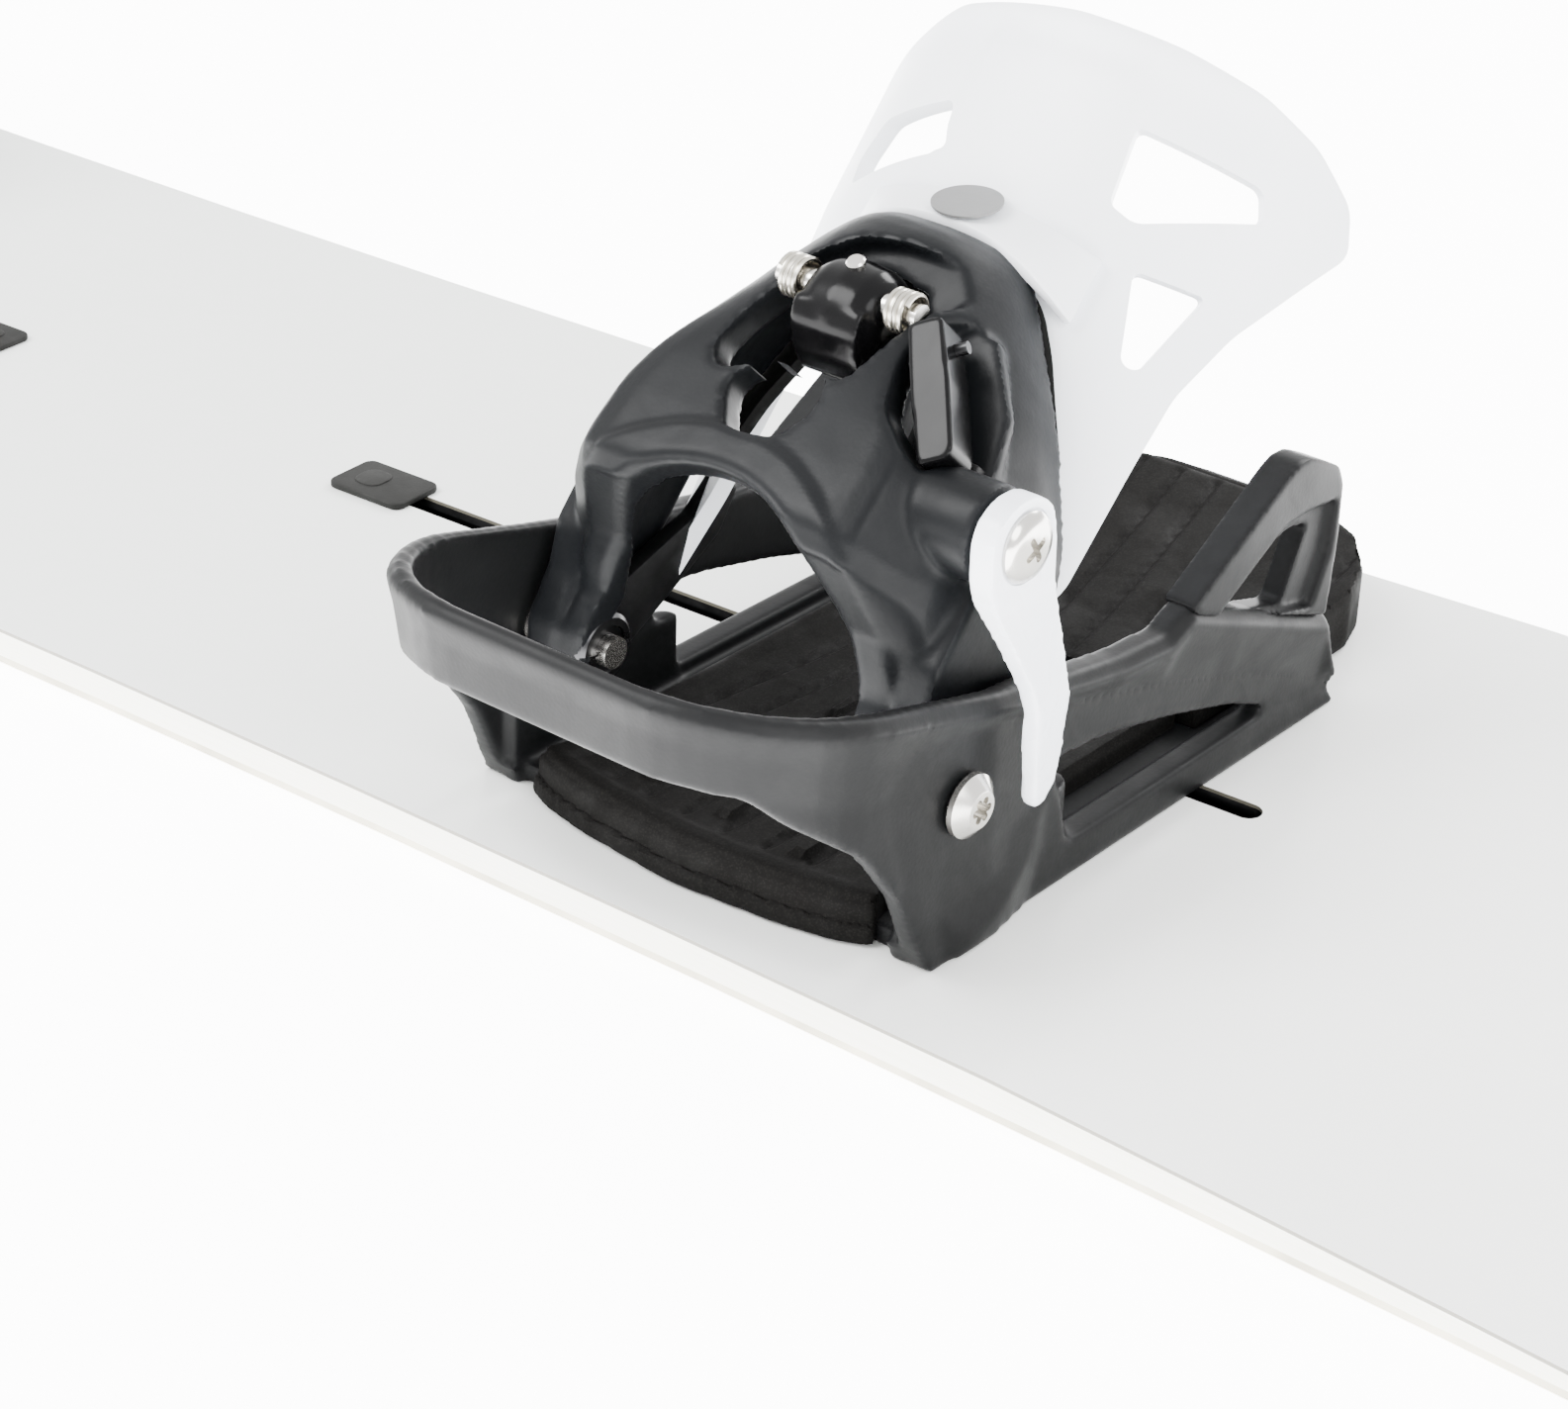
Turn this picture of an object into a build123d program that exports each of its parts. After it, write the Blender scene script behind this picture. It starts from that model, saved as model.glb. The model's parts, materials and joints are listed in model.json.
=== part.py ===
"""Snowboard with a pair of step-in bindings.

Board frame: origin at the centre of the base, +X along the board to the tail,
+Y to the toe edge, +Z up. Each binding is drawn in its own frame (origin on the
top sheet at the middle of the mounting disc, +Y to the toes) and the heel arch
and the highback are drawn upright about the side bolts, then tilted forward.
"""
import os
from math import asin, cos, radians, sin

from build123d import *

# ---- board, millimetres
BOARD_LENGTH = 1550.0
WAIST = 252.0
SIDECUT_RADIUS = 8500.0
CONTACT_X = 590.0            # the base is flat between -CONTACT_X and CONTACT_X
TIP_RISE = 45.0
THICK = 10.0                 # under the bindings
THICK_TIP = 5.0
TAPER_X = 375.0              # the board thins from here to CONTACT_X
TOPSHEET = 1.0
BASE = 1.2
EDGE_H = 2.0
EDGE_W = 2.2
SIDEWALL_W = 6.0

# ---- binding slot in the board
SLOT_X0 = 82.0               # middle of the entry, under the plug
SLOT_X1 = 365.0
SLOT_W = 7.5
RAIL_W = 19.0
RAIL_Z0 = 2.6
T_W = 13.0
T_Z0 = 4.0
T_Z1 = 6.8
PLUG = (26.5, 18.5, 2.0)

# ---- binding
STANCE_X = 280.0             # disc centre, from the middle of the board
YAW = -3.0                   # toes turned towards the tail
AXIS_Y = -94.0               # side bolt line
AXIS_Z = 39.0
TILT = 42.0                  # forward tilt of arch and highback at rest
WALL_IN = 58.0
WALL_OUT = 67.0
RING_IN = 61.0
RING_OUT = 68.5
RING_BACK = -163.0
RING_WALL = 6.0
RING_CURVE = 42.0            # plan radius of the ring's outer corners
FLOOR_T = 5.0
FLOOR_BACK = -103.0
FRONT_Y = 66.0
PAD_TOP = 12.5
DISC_R = 44.0
BOLT_R = 4.0
HEAD_R = 7.8
HEAD_X = 67.5                # seat of the bolt head, sunk into the wall
BUSH_R = 6.0
RUN = 0.06                   # radial clearance of a turning fit
LEG_IN = 47.3
LEG_OUT = 57.3
ARM_IN = 42.0
ARM_OUT = 46.8
HIGHBACK_R = 80.0
HIGHBACK_T = 4.0
LINER_R = (80.5, 83.7)
SHAFT = (-31.7, 92.6)        # latch shaft, upright frame (y, z)
SHAFT_R = 3.0
SHAFT_END = 20.0
LEVER_AXIS = (-78.0, 96.5)   # release lever screw, binding frame (y, z)
LEAN_PIVOT = (28.0, -31.0, 86.0)   # lean lever pin, upright frame
LEAN_TURN = 32.0             # the lean lever slants outwards by this angle

BINDING = Pos(STANCE_X, 0, THICK) * Rot(0, 0, YAW)
UPRIGHT = Pos(0, AXIS_Y, AXIS_Z) * Rot(-TILT, 0, 0)


# ---- small helpers
def push(face, height):
    """A face in the XY plane made that high, whichever way it was drawn."""
    return extrude(face, height, dir=(0, 0, 1))


def plate(points, low, high, normal="z"):
    """A polygon pushed between two planes. x: points are (y, z), y: (x, z), z: (x, y)."""
    plane = {"x": Plane.YZ, "y": Plane.XZ, "z": Plane.XY}[normal]
    flip = -1 if normal == "y" else 1
    face = make_face(Polyline(*points, close=True))
    start = low if flip > 0 else -high
    return plane.offset(start) * push(face, high - low)


def rod(radius, low, high, at=(0, 0), hole=0.0):
    """A round bar along X from low to high, at (y, z), bored when hole is given."""
    section = Circle(radius)
    if hole:
        section -= Circle(hole)
    return Plane.YZ.offset(low) * (Pos(at[0], at[1]) * push(section, high - low))


def block(x, y, z):
    """A box from three (low, high) pairs."""
    size = [b - a for a, b in (x, y, z)]
    middle = [(a + b) / 2 for a, b in (x, y, z)]
    return Pos(*middle) * Box(*size)


def closed_face(curves):
    """A face from curves that meet end to end."""
    return make_face([edge for curve in curves for edge in curve.edges()])


def both(points):
    """A right-hand half outline, top to bottom, closed by its mirror image."""
    return points + [(-x, z) for x, z in reversed(points)]


def pair(shape):
    """A piece and its mirror image across the binding's middle."""
    return [shape, mirror(shape, about=Plane.YZ)]


# ---- board
def outline(inset=0.0):
    """Half of the board's plan, mirrored: sidecut arc, then a rounded tip."""
    waist = WAIST / 2 - inset
    contact = waist + CONTACT_X ** 2 / (2 * SIDECUT_RADIUS)
    tip = BOARD_LENGTH / 2 - inset
    side = ThreePointArc((-CONTACT_X, contact), (0, waist), (CONTACT_X, contact))
    slope = CONTACT_X / SIDECUT_RADIUS
    nose = Spline((CONTACT_X, contact), (tip, 0), tangents=((1, slope), (0, -1)),
                  tangent_scalars=(1.25, 1.0))
    curves = [side, nose, mirror(nose, about=Plane.YZ)]
    curves += [mirror(c, about=Plane.XZ) for c in curves]
    return closed_face(curves)


def edge_line(depth, from_top):
    """One long line of the side view: flat base, rising tips."""
    run = BOARD_LENGTH / 2 - CONTACT_X
    radius = (run ** 2 + TIP_RISE ** 2) / (2 * TIP_RISE)
    end = asin(run / radius) + radians(3)
    level = THICK_TIP - depth if from_top else depth
    bend = radius - level
    tip = (CONTACT_X + bend * sin(end), radius - bend * cos(end))
    mid = (CONTACT_X + bend * sin(end / 2), radius - bend * cos(end / 2))
    arc = ThreePointArc((CONTACT_X, level), mid, tip)
    if from_top:
        top = THICK - depth
        flat = Polyline((-CONTACT_X, level), (-TAPER_X, top), (TAPER_X, top), (CONTACT_X, level))
    else:
        flat = Line((-CONTACT_X, level), (CONTACT_X, level))
    return [mirror(arc, about=Plane.YZ), flat, arc], tip


def layer(face, low, high, width=200.0):
    """The stretch of a plan face between two side-view lines (depth, from_top)."""
    lower, low_tip = edge_line(*low)
    upper, high_tip = edge_line(*high)
    ends = [Line(low_tip, high_tip), Line((-low_tip[0], low_tip[1]), (-high_tip[0], high_tip[1]))]
    side = closed_face(lower + upper + ends)
    slab = Plane.XZ.offset(-width) * push(side, 2 * width)
    column = Pos(0, 0, -5) * push(face, 120)
    return slab & column


def slot_cut(width, z0, z1, end=0.0):
    """A round-ended cut along the slot, for both bindings."""
    middle = (SLOT_X0 + SLOT_X1) / 2
    shape = SlotOverall(SLOT_X1 - SLOT_X0 + 2 * end, width)
    cut = Pos(middle, 0, z0) * extrude(shape, z1 - z0)
    return cut + mirror(cut, about=Plane.YZ)


def board_parts():
    parts = {}
    full, inner = outline(), outline(EDGE_W)
    core_plan = outline(SIDEWALL_W)
    rail_pocket = slot_cut(RAIL_W, RAIL_Z0, THICK - TOPSHEET, end=6)
    entry = block((SLOT_X0 - 9, SLOT_X0 + 9), (-6, 6), (T_Z1, THICK + 1))
    entries = entry + mirror(entry, about=Plane.YZ)
    parts["topsheet"] = layer(full, (TOPSHEET, True), (0, True)) - slot_cut(SLOT_W, 8, 12) - entries
    parts["sidewalls"] = layer(full - core_plan, (EDGE_H, False), (TOPSHEET, True))
    core = layer(core_plan, (EDGE_H, False), (TOPSHEET, True))
    core += layer(inner, (BASE, False), (EDGE_H, False))
    parts["wood_core"] = core - rail_pocket
    parts["steel_edges"] = layer(full - inner, (0, False), (EDGE_H, False))
    parts["base_sheet"] = layer(inner, (0, False), (BASE, False))
    rail = slot_cut(RAIL_W, RAIL_Z0, THICK - TOPSHEET, end=6)
    rail -= slot_cut(T_W, T_Z0, T_Z1, end=-2) + slot_cut(SLOT_W, T_Z1, 12) + entries
    half = block((0, 400), (-20, 20), (0, 20))
    parts["slot_rail_rear"] = rail & half
    length, width, proud = PLUG
    cap = Pos(SLOT_X0, 0, THICK) * extrude(fillet(Rectangle(length, width).vertices(), 3), proud)
    cap = chamfer(cap.faces().sort_by(Axis.Z)[-1].edges(), 0.6)
    stem = block((SLOT_X0 - 4.5, SLOT_X0 + 8.5), (-4.8, 4.8), (T_Z1 + 0.3, THICK))
    parts["slot_plug_rear"] = cap + stem
    for name in ("slot_rail", "slot_plug"):
        parts[name + "_front"] = mirror(parts[name + "_rear"], about=Plane.YZ)
    return parts


# ---- binding base
def ring_band():
    """Plan of the side walls and the heel ring, as one open U."""
    def plan(wall, ring, back, front, radius):
        side = [(wall, front), (wall, -66), (ring, -96), (ring, back)]
        shape = Polygon(*side, *[(-x, y) for x, y in reversed(side)], align=None)
        return fillet(shape.vertices().group_by(Axis.Y)[0], radius)

    inner_back = RING_BACK + RING_WALL
    outer = plan(WALL_OUT, RING_OUT, RING_BACK, FRONT_Y, RING_CURVE)
    return outer - plan(WALL_IN, RING_IN, inner_back, FRONT_Y + 1, RING_CURVE - RING_WALL)


def baseplate():
    side = [(-112, 0), (FRONT_Y, 0), (FRONT_Y, 9), (60, 27), (-4, 53), (-13, 49), (-32, 50.5),
            (-58, 55), (-94, 64), (-126, 72.5), (-165, 81), (-165, 60), (-150, 57), (-143, 50),
            (-127, 38), (-114, 22), (-112, 8)]
    window = [(-50, 9), (-56, 33), (-36, 31), (-9, 25), (19, 17), (38, 9)]
    frame = push(ring_band(), 90) & plate(side, -80, 80, "x")
    frame -= plate(window, -80, 80, "x")
    floor = block((-WALL_IN, WALL_IN), (FLOOR_BACK, FRONT_Y), (0, FLOOR_T))
    foot = extrude(fillet(Rectangle(22, 44).vertices(), 6), 9)
    feet = Pos(65, -92, 0) * foot + Pos(-65, -92, 0) * foot
    body = frame + floor + (feet - block((-WALL_IN, WALL_IN), (-130, 0), (0, 20)))
    body -= Pos(0, 0, -1) * Cylinder(DISC_R + 0.3, 20, align=(Align.CENTER, Align.CENTER, Align.MIN))
    recess = rod(HEAD_R + 1, HEAD_X, 80, (AXIS_Y, AXIS_Z))
    for cut in pair(recess):
        body -= cut
    return body - rod(BOLT_R + 0.2, -90, 90, (AXIS_Y, AXIS_Z))


def heel_pad():
    plan = Polygon((50, 20), (50, -100), (52.5, -106), (30, -113), (0, -116),
                   (-30, -113), (-52.5, -106), (-50, -100), (-50, 20), align=None)
    pad = push(plan, PAD_TOP)
    pad -= block((-60, 60), (FLOOR_BACK - 0.3, 30), (-1, FLOOR_T))
    return pad - block((-60, 60), (-130, FLOOR_BACK), (-1, 0.3))


def toe_pad():
    plan = Polygon((54, 20.5), (54, 92), (40, 116), (16, 126), (-16, 126), (-40, 116),
                   (-54, 92), (-54, 20.5), align=None)
    side = [(20.5, FLOOR_T), (FRONT_Y + 0.3, FLOOR_T), (FRONT_Y + 0.3, 0.3), (126, 0.3),
            (126, 18), (119, 21), (70, PAD_TOP + 2), (45, PAD_TOP), (20.5, PAD_TOP)]
    return push(plan, 40) & plate(side, -60, 60, "x")


def toe_hooks():
    side = [(-4, 53.3), (59, 27.7), (61.5, 57), (62, 67), (53, 71.5), (48, 76), (41, 77), (34, 74)]
    window = [(49, 55), (33, 56), (20, 48), (37, 40), (48, 44)]
    return pair(plate(side, WALL_IN, WALL_OUT, "x") - plate(window, 50, 80, "x"))


def mounting():
    """Disc, its two screws and the nuts in the board's slot, in the board frame."""
    spots = [Pos(STANCE_X + dx, 0, 0) for dx in (-20, 20)]
    disc = Pos(STANCE_X, 0, THICK) * Cylinder(DISC_R, 4.8, align=(Align.CENTER, Align.CENTER, Align.MIN))
    screws, nuts = [], []
    low = (Align.CENTER, Align.CENTER, Align.MIN)
    for spot in spots:
        disc -= spot * (Pos(0, 0, THICK) * Cylinder(3.2, 10, align=low))
        disc -= spot * (Pos(0, 0, THICK + 2.4) * Cylinder(6.6, 10, align=low))
        head = Pos(0, 0, THICK + 2.4) * Cylinder(6.2, 2.2, align=low)
        screws.append(spot * (head + Pos(0, 0, T_Z0 + 0.4) * Cylinder(3.0, 8.1, align=low)))
        nut = Pos(0, 0, T_Z0 + 0.3) * Box(16, T_W - 0.6, 2.2, align=low)
        nuts.append(spot * (nut - Cylinder(3.0, 30)))
    return {"mounting_disc": disc, "disc_screws": screws, "slot_nuts": nuts}


def side_hardware():
    at = (AXIS_Y, AXIS_Z)
    head = chamfer(rod(HEAD_R, HEAD_X, HEAD_X + 4.5, at).faces().sort_by(Axis.X)[-1].edges(), 1.5)
    bolt = head + rod(BOLT_R, 36, HEAD_X, at)
    nut = rod(9, 38.5, 41.6, at, hole=BOLT_R)
    bush = rod(BUSH_R, 41.7, 59.8, at, hole=BOLT_R + RUN)
    return {"side_bolts": pair(bolt), "side_nuts": pair(nut), "side_bushes": pair(bush)}


# ---- heel arch, upright frame
def oval_loft(grow, top, low=-14.0):
    """A tapering oval column; grow widens it by that much on every side."""
    stations = ((low, 57.3, 50.0), (45.0, 57.3, 50.0), (82.0, 46.0, 42.0), (top, 25.0, 27.0))
    rings = [Pos(0, 5, z) * Ellipse(w + grow, d + grow) for z, w, d in stations]
    return loft(rings, ruled=True)


def heel_arch():
    shell = oval_loft(0, 118) - oval_loft(-10.5, 107, low=-15)
    profile = [(-10, 0), (-12, 12), (-18, 22), (-48, 37), (-48, 62), (-42, 95), (-27, 119),
               (12, 119), (14, 60), (11, 20), (10, 0), (4, -9), (-4, -9)]
    shell &= plate(profile, -70, 70, "x")
    shell -= Pos(0, HIGHBACK_R, 0) * Cylinder(LINER_R[1] + 0.5, 400)
    legs = rod(10, LEG_IN, LEG_OUT)
    strut = plate([(-10, 0), (10, 0), (9, 24), (2, 46), (-18, 46), (-16, 20)], LEG_IN, LEG_OUT, "x")
    shell -= block((0.1 - LEG_IN, LEG_IN - 0.1), (-9, 40), (20, 52.5))
    shell -= block((0.1 - LEG_IN, LEG_IN - 0.1), (-14, 40), (-30, 20))
    arch = shell + rod(10.5, 36, 60.3, lever_spot())
    for side in pair(legs + strut):
        arch += side
    oval = Plane.XZ * push(Ellipse(38, 41), 60)
    mouth = both([(17, 110), (19, 104), (19, 80), (11, 72), (10, 53)])
    arch -= oval
    arch -= plate(mouth, -60, -8, "y")
    arch -= lean_place(block((-5, 5), (-30, 8), (-30, 8.5)))
    arch -= lean_place(rod(1.5, -7.4, 7.4))
    arch -= lean_block() + link_bar(1.9)
    arch -= rod(SHAFT_R, -SHAFT_END, SHAFT_END, SHAFT)
    arch -= rod(BUSH_R + RUN, -70, 70)
    return arch - rod(4.1, 43.5, 70, lever_spot())


def lever_spot():
    """The release lever's axis in the upright frame, as (y, z)."""
    y, z = LEVER_AXIS[0] - AXIS_Y, LEVER_AXIS[1] - AXIS_Z
    c, s = cos(radians(TILT)), sin(radians(TILT))
    return y * c - z * s, y * s + z * c


def curved_sheet(outer, inner, points):
    """A sheet of the highback's curve, cut to an outline of (x, z) points."""
    tube = Cylinder(outer, 500) - Cylinder(inner, 500)
    sheet = Pos(0, HIGHBACK_R, 0) * tube
    return sheet & plate(points, -10, 62, "y")


def highback():
    """The sheet is uneven: its left shoulder is lower, and its windows differ."""
    right = [(0, 183), (34, 182), (52, 179), (62, 171), (66.5, 158), (63, 146), (57, 127),
             (53, 108), (52, 88), (51, 56), (46.8, 46), (46.8, 24), (42, 24), (38, 46),
             (37, 80), (32, 88), (22, 92), (0, 92)]
    left = [(-22, 92), (-32, 88), (-37, 80), (-38, 46), (-42, 24), (-46.8, 24), (-46.8, 46),
            (-51, 56), (-52, 88), (-53, 108), (-57, 122), (-64, 140), (-67, 152), (-65, 163),
            (-53, 172), (-34, 180)]
    sheet = curved_sheet(HIGHBACK_R, HIGHBACK_R - HIGHBACK_T, right + left)
    windows = ([(24, 160), (32, 140), (52, 150), (51, 161), (26, 164)],
               [(36, 130), (42, 110), (50, 128), (49, 133)],
               [(-23, 155), (-18, 143), (-46, 132), (-48, 140), (-45, 149)])
    for window in windows:
        sheet -= plate(window, -10, 62, "y")
    arm = plate([(-10, 0), (10, 0), (24, 40), (22, 52), (14, 52), (12, 40)], ARM_IN, ARM_OUT, "x")
    arm += rod(10, ARM_IN, ARM_OUT)
    for side in pair(arm):
        sheet += side
    return sheet - rod(BUSH_R + RUN, -60, 60)


def arch_liner():
    half = [(0, 119), (17, 119), (26, 112), (32, 103), (38, 91), (43, 81), (46, 68), (47, 55),
            (38, 55), (34, 70), (26, 86), (18, 96), (0, 99)]
    return curved_sheet(LINER_R[1], LINER_R[0], half + [(-x, z) for x, z in half[-2:0:-1]])


def badge():
    disc = Pos(0, 0, 128.5) * (Plane.XZ * extrude(Circle(9.4), 20, both=True))
    tube = Pos(0, HIGHBACK_R, 0) * (Cylinder(HIGHBACK_R + 0.5, 500) - Cylinder(HIGHBACK_R, 500))
    return disc & tube & block((-20, 20), (-10, 20), (100, 150))


# ---- latch, upright frame
def latch():
    y, z = SHAFT
    dome = rod(10.5, -11.5, 11.5, SHAFT)
    dome = fillet(dome.edges().filter_by(GeomType.CIRCLE), 2.5)
    tail = block((-10, 10), (y - 10.5, y + 0.5), (74, z))
    pawl = dome + tail - rod(SHAFT_R + RUN, -20, 20, SHAFT)
    pin_hole = Pos(0, y - 10.6, z + 3) * Rot(90, 0, 0) * Cylinder(2.2, 6)
    springs = rod(5.4, 12.4, 18.2, SHAFT, hole=SHAFT_R + 0.2)
    return {"latch_pawl": pawl - pin_hole, "latch_shaft": rod(SHAFT_R, -SHAFT_END, SHAFT_END, SHAFT),
            "latch_springs": pair(springs), "latch_pin": pin_hole}


def lean_place(shape):
    """Puts a piece drawn along -Z from the lean lever's pin into the arch."""
    return Pos(*LEAN_PIVOT) * Rot(0, -LEAN_TURN, 0) * shape


def lean_parts():
    lever = block((-4.2, 4.2), (-6, 5), (-28, 6))
    lever = fillet(lever.edges().filter_by(Axis.Y), 2) - rod(1.56, -10, 10)
    pin = rod(1.5, -7.4, 7.4)
    return {"lean_lever": lean_place(lever), "lean_pin": lean_place(pin), "lean_block": lean_block()}


def lean_block():
    """The stepped stop that sets the forward lean."""
    return block((37, 50), (-25.5, -14), (57.5, 64)) + block((40, 47), (-25.5, -14), (64, 67))


def release_parts():
    """Lever, its screw and the link to the latch, binding frame."""
    y, z = LEVER_AXIS
    side = [(y - 13, z + 4), (y - 8, z + 12), (y + 4, z + 13), (y + 13, z + 2), (y + 12, z - 14),
            (y + 6, z - 44), (y + 1, z - 60), (y - 5, z - 61), (y - 7, z - 44), (y - 10, z - 20)]
    front = [(61, z + 14), (68, z + 14), (68, 82), (77.5, 62), (77.5, 34), (73, 34), (73, 60),
             (61, 80)]
    lever = plate(side, 55, 85, "x") & plate(front, -140, 0, "y")
    lever -= rod(4.1, 50, 90, LEVER_AXIS)
    screw = rod(4.04, 44, 68.1, LEVER_AXIS) + rod(8.2, 68.1, 71, LEVER_AXIS)
    return {"release_lever": lever, "lever_screw": screw}


def link_bar(radius):
    """A bent bar in front of the arch, from the lever's screw to the latch, upright frame."""
    path = FilletPolyline((44, -9, 62), (30, -12, 86), (16, -14, 100), radius=12)
    return sweep(Plane(path @ 0, z_dir=path % 0) * Circle(radius), path)


def binding_parts():
    parts = {"baseplate": baseplate(), "heel_pad": heel_pad(), "toe_pad": toe_pad(),
             "toe_hooks": toe_hooks(), **side_hardware(), **release_parts()}
    upright = {"heel_arch": heel_arch(), "highback": highback(), "arch_liner": arch_liner(),
               "badge": badge(), "release_link": link_bar(1.5), **latch(), **lean_parts()}
    for name, shape in upright.items():
        parts[name] = [UPRIGHT * s for s in solids_of(shape)]
    return parts


def solids_of(shape):
    shapes = shape if isinstance(shape, list) else [shape]
    return [solid for s in shapes for solid in s.solids()]


def write(name, shape):
    solids = solids_of(shape)
    export_step(solids[0] if len(solids) == 1 else Compound(children=solids), f"parts/{name}.step")


def main():
    os.makedirs("parts", exist_ok=True)
    for name, shape in board_parts().items():
        write(name, shape)
    for name, shape in mounting().items():
        write(name + "_rear", shape)
        write(name + "_front", [mirror(s, about=Plane.YZ) for s in solids_of(shape)])
    for name, shape in binding_parts().items():
        rear = [BINDING * s for s in solids_of(shape)]
        write(name + "_rear", rear)
        write(name + "_front", [mirror(s, about=Plane.YZ) for s in rear])


main()
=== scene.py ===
"""Looks of a white snowboard with two step-in bindings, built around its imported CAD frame.

Each binding is drawn in millimetres in its own frame: origin on the top sheet at the
middle of the mounting disc, +X across the foot, +Y to the toes, +Z up. The heel arch and
the highback are drawn upright about the side bolts and then tilted forward.
"""

from math import asin, atan2, cos, pi, radians, sin, sqrt
import json

import bmesh
import bpy
from mathutils import Matrix, Vector


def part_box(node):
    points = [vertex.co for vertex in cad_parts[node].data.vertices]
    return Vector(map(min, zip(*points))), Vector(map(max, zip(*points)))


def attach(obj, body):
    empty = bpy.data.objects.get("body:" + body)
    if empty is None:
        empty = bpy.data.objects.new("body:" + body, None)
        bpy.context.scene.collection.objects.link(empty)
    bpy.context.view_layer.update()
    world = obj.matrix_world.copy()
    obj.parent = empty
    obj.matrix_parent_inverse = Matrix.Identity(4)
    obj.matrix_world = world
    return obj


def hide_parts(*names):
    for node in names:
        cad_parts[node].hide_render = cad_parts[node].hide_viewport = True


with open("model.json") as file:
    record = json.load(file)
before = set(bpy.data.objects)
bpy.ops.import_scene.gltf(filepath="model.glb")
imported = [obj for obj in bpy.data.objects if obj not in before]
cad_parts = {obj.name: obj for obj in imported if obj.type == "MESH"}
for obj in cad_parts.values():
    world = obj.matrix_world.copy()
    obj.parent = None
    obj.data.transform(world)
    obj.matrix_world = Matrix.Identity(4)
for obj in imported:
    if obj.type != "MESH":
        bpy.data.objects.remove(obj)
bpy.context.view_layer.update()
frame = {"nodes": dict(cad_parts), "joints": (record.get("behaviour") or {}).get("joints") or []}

MM = 0.001
SIDES = ("rear", "front")
AXIS_Y, AXIS_Z = -94.0, 39.0          # the side bolts, in the binding's frame
TILT = radians(42)                    # how far arch and highback lean forward at rest
HIGHBACK_R = 80.0                     # radius of the highback's plan curve
PANEL_THICK = 4.2                     # the highback's wall, arms and relief apart
SHAFT_A, SHAFT_B = -31.7, 92.6        # latch shaft, upright frame
LEVER_Y, LEVER_Z = -78.0, 96.5        # screw of the release lever
LEAN_PIN = (28.0, -31.0, 86.0)        # pin of the lean lever, upright frame
LEAN_TURN = radians(32)               # slant of the lean lever
FLOOR_Z = 5.0                         # top of the baseplate's floor
PAD_TOP = 12.5                        # top of the heel pad
SHARP_ANGLE = radians(35)             # edges above this angle are shaded sharp
SHAFT_HOLE_R, PAWL_HOLE_R = 3.02, 3.06
BOLT_R, BOLT_HOLE_R, BUSH_HOLE_R = 3.96, 4.2, 6.08
LEVER_SCREW_R, LEVER_HOLE_R = 4.0, 4.1

CAMERA_AT = (0.7202, -0.6949, 0.46041)
CAMERA_AZIMUTH, CAMERA_ELEVATION, CAMERA_ROLL = radians(35.613), radians(28.806), radians(2.008)
LENS_MM, SENSOR_MM = 85.02, 36.0
LIGHTS = (("key", (-0.9, -1.2, 1.9), (0.2, 0, 0.05), 1.4, 105),       # name, place, aim, size, watts
          ("fill", (1.9, -0.6, 1.2), (0.25, 0, 0.08), 1.2, 32),
          ("back", (0.4, 1.7, 1.1), (0.25, 0, 0.10), 1.0, 45))
SKY_STRENGTH, FLOOR_GLOW, FLOOR_HALF = 2.3, 9.0, 9.0

joints = {joint["name"]: joint for joint in frame["joints"]}
bolt_axis = Vector(joints["fold_rear"]["axis"])
yaw = Matrix.Rotation(atan2(-bolt_axis.y, -bolt_axis.x), 4, "Z")
bolt_spot = Vector(joints["fold_rear"]["pos_m"])
origin = bolt_spot - yaw @ Vector((0, AXIS_Y * MM, AXIS_Z * MM))
BINDING = Matrix.Translation(origin) @ yaw @ Matrix.Scale(MM, 4)
UPRIGHT = BINDING @ Matrix.Translation((0, AXIS_Y, AXIS_Z)) @ Matrix.Rotation(-TILT, 4, "X")
MIRROR = Matrix.Scale(-1, 4, (1, 0, 0))


# ---- camera, floor and light
def camera():
    data = bpy.data.cameras.new("camera")
    data.lens, data.sensor_width = LENS_MM, SENSOR_MM
    data.clip_start, data.clip_end = 0.05, 30.0
    turn = (Matrix.Rotation(CAMERA_AZIMUTH, 4, "Z") @ Matrix.Rotation(pi / 2 - CAMERA_ELEVATION, 4, "X")
            @ Matrix.Rotation(CAMERA_ROLL, 4, "Z"))
    view = bpy.data.objects.new("camera", data)
    view.matrix_world = Matrix.Translation(CAMERA_AT) @ turn
    bpy.context.scene.collection.objects.link(view)
    bpy.context.scene.camera = view


def soft_light(name, place, aim, size, watts):
    data = bpy.data.lights.new(name, "AREA")
    data.shape, data.size, data.energy = "DISK", size, watts
    light = bpy.data.objects.new(name, data)
    towards = Vector(aim) - Vector(place)
    light.matrix_world = Matrix.Translation(place) @ towards.to_track_quat("-Z", "Y").to_matrix().to_4x4()
    bpy.context.scene.collection.objects.link(light)


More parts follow.
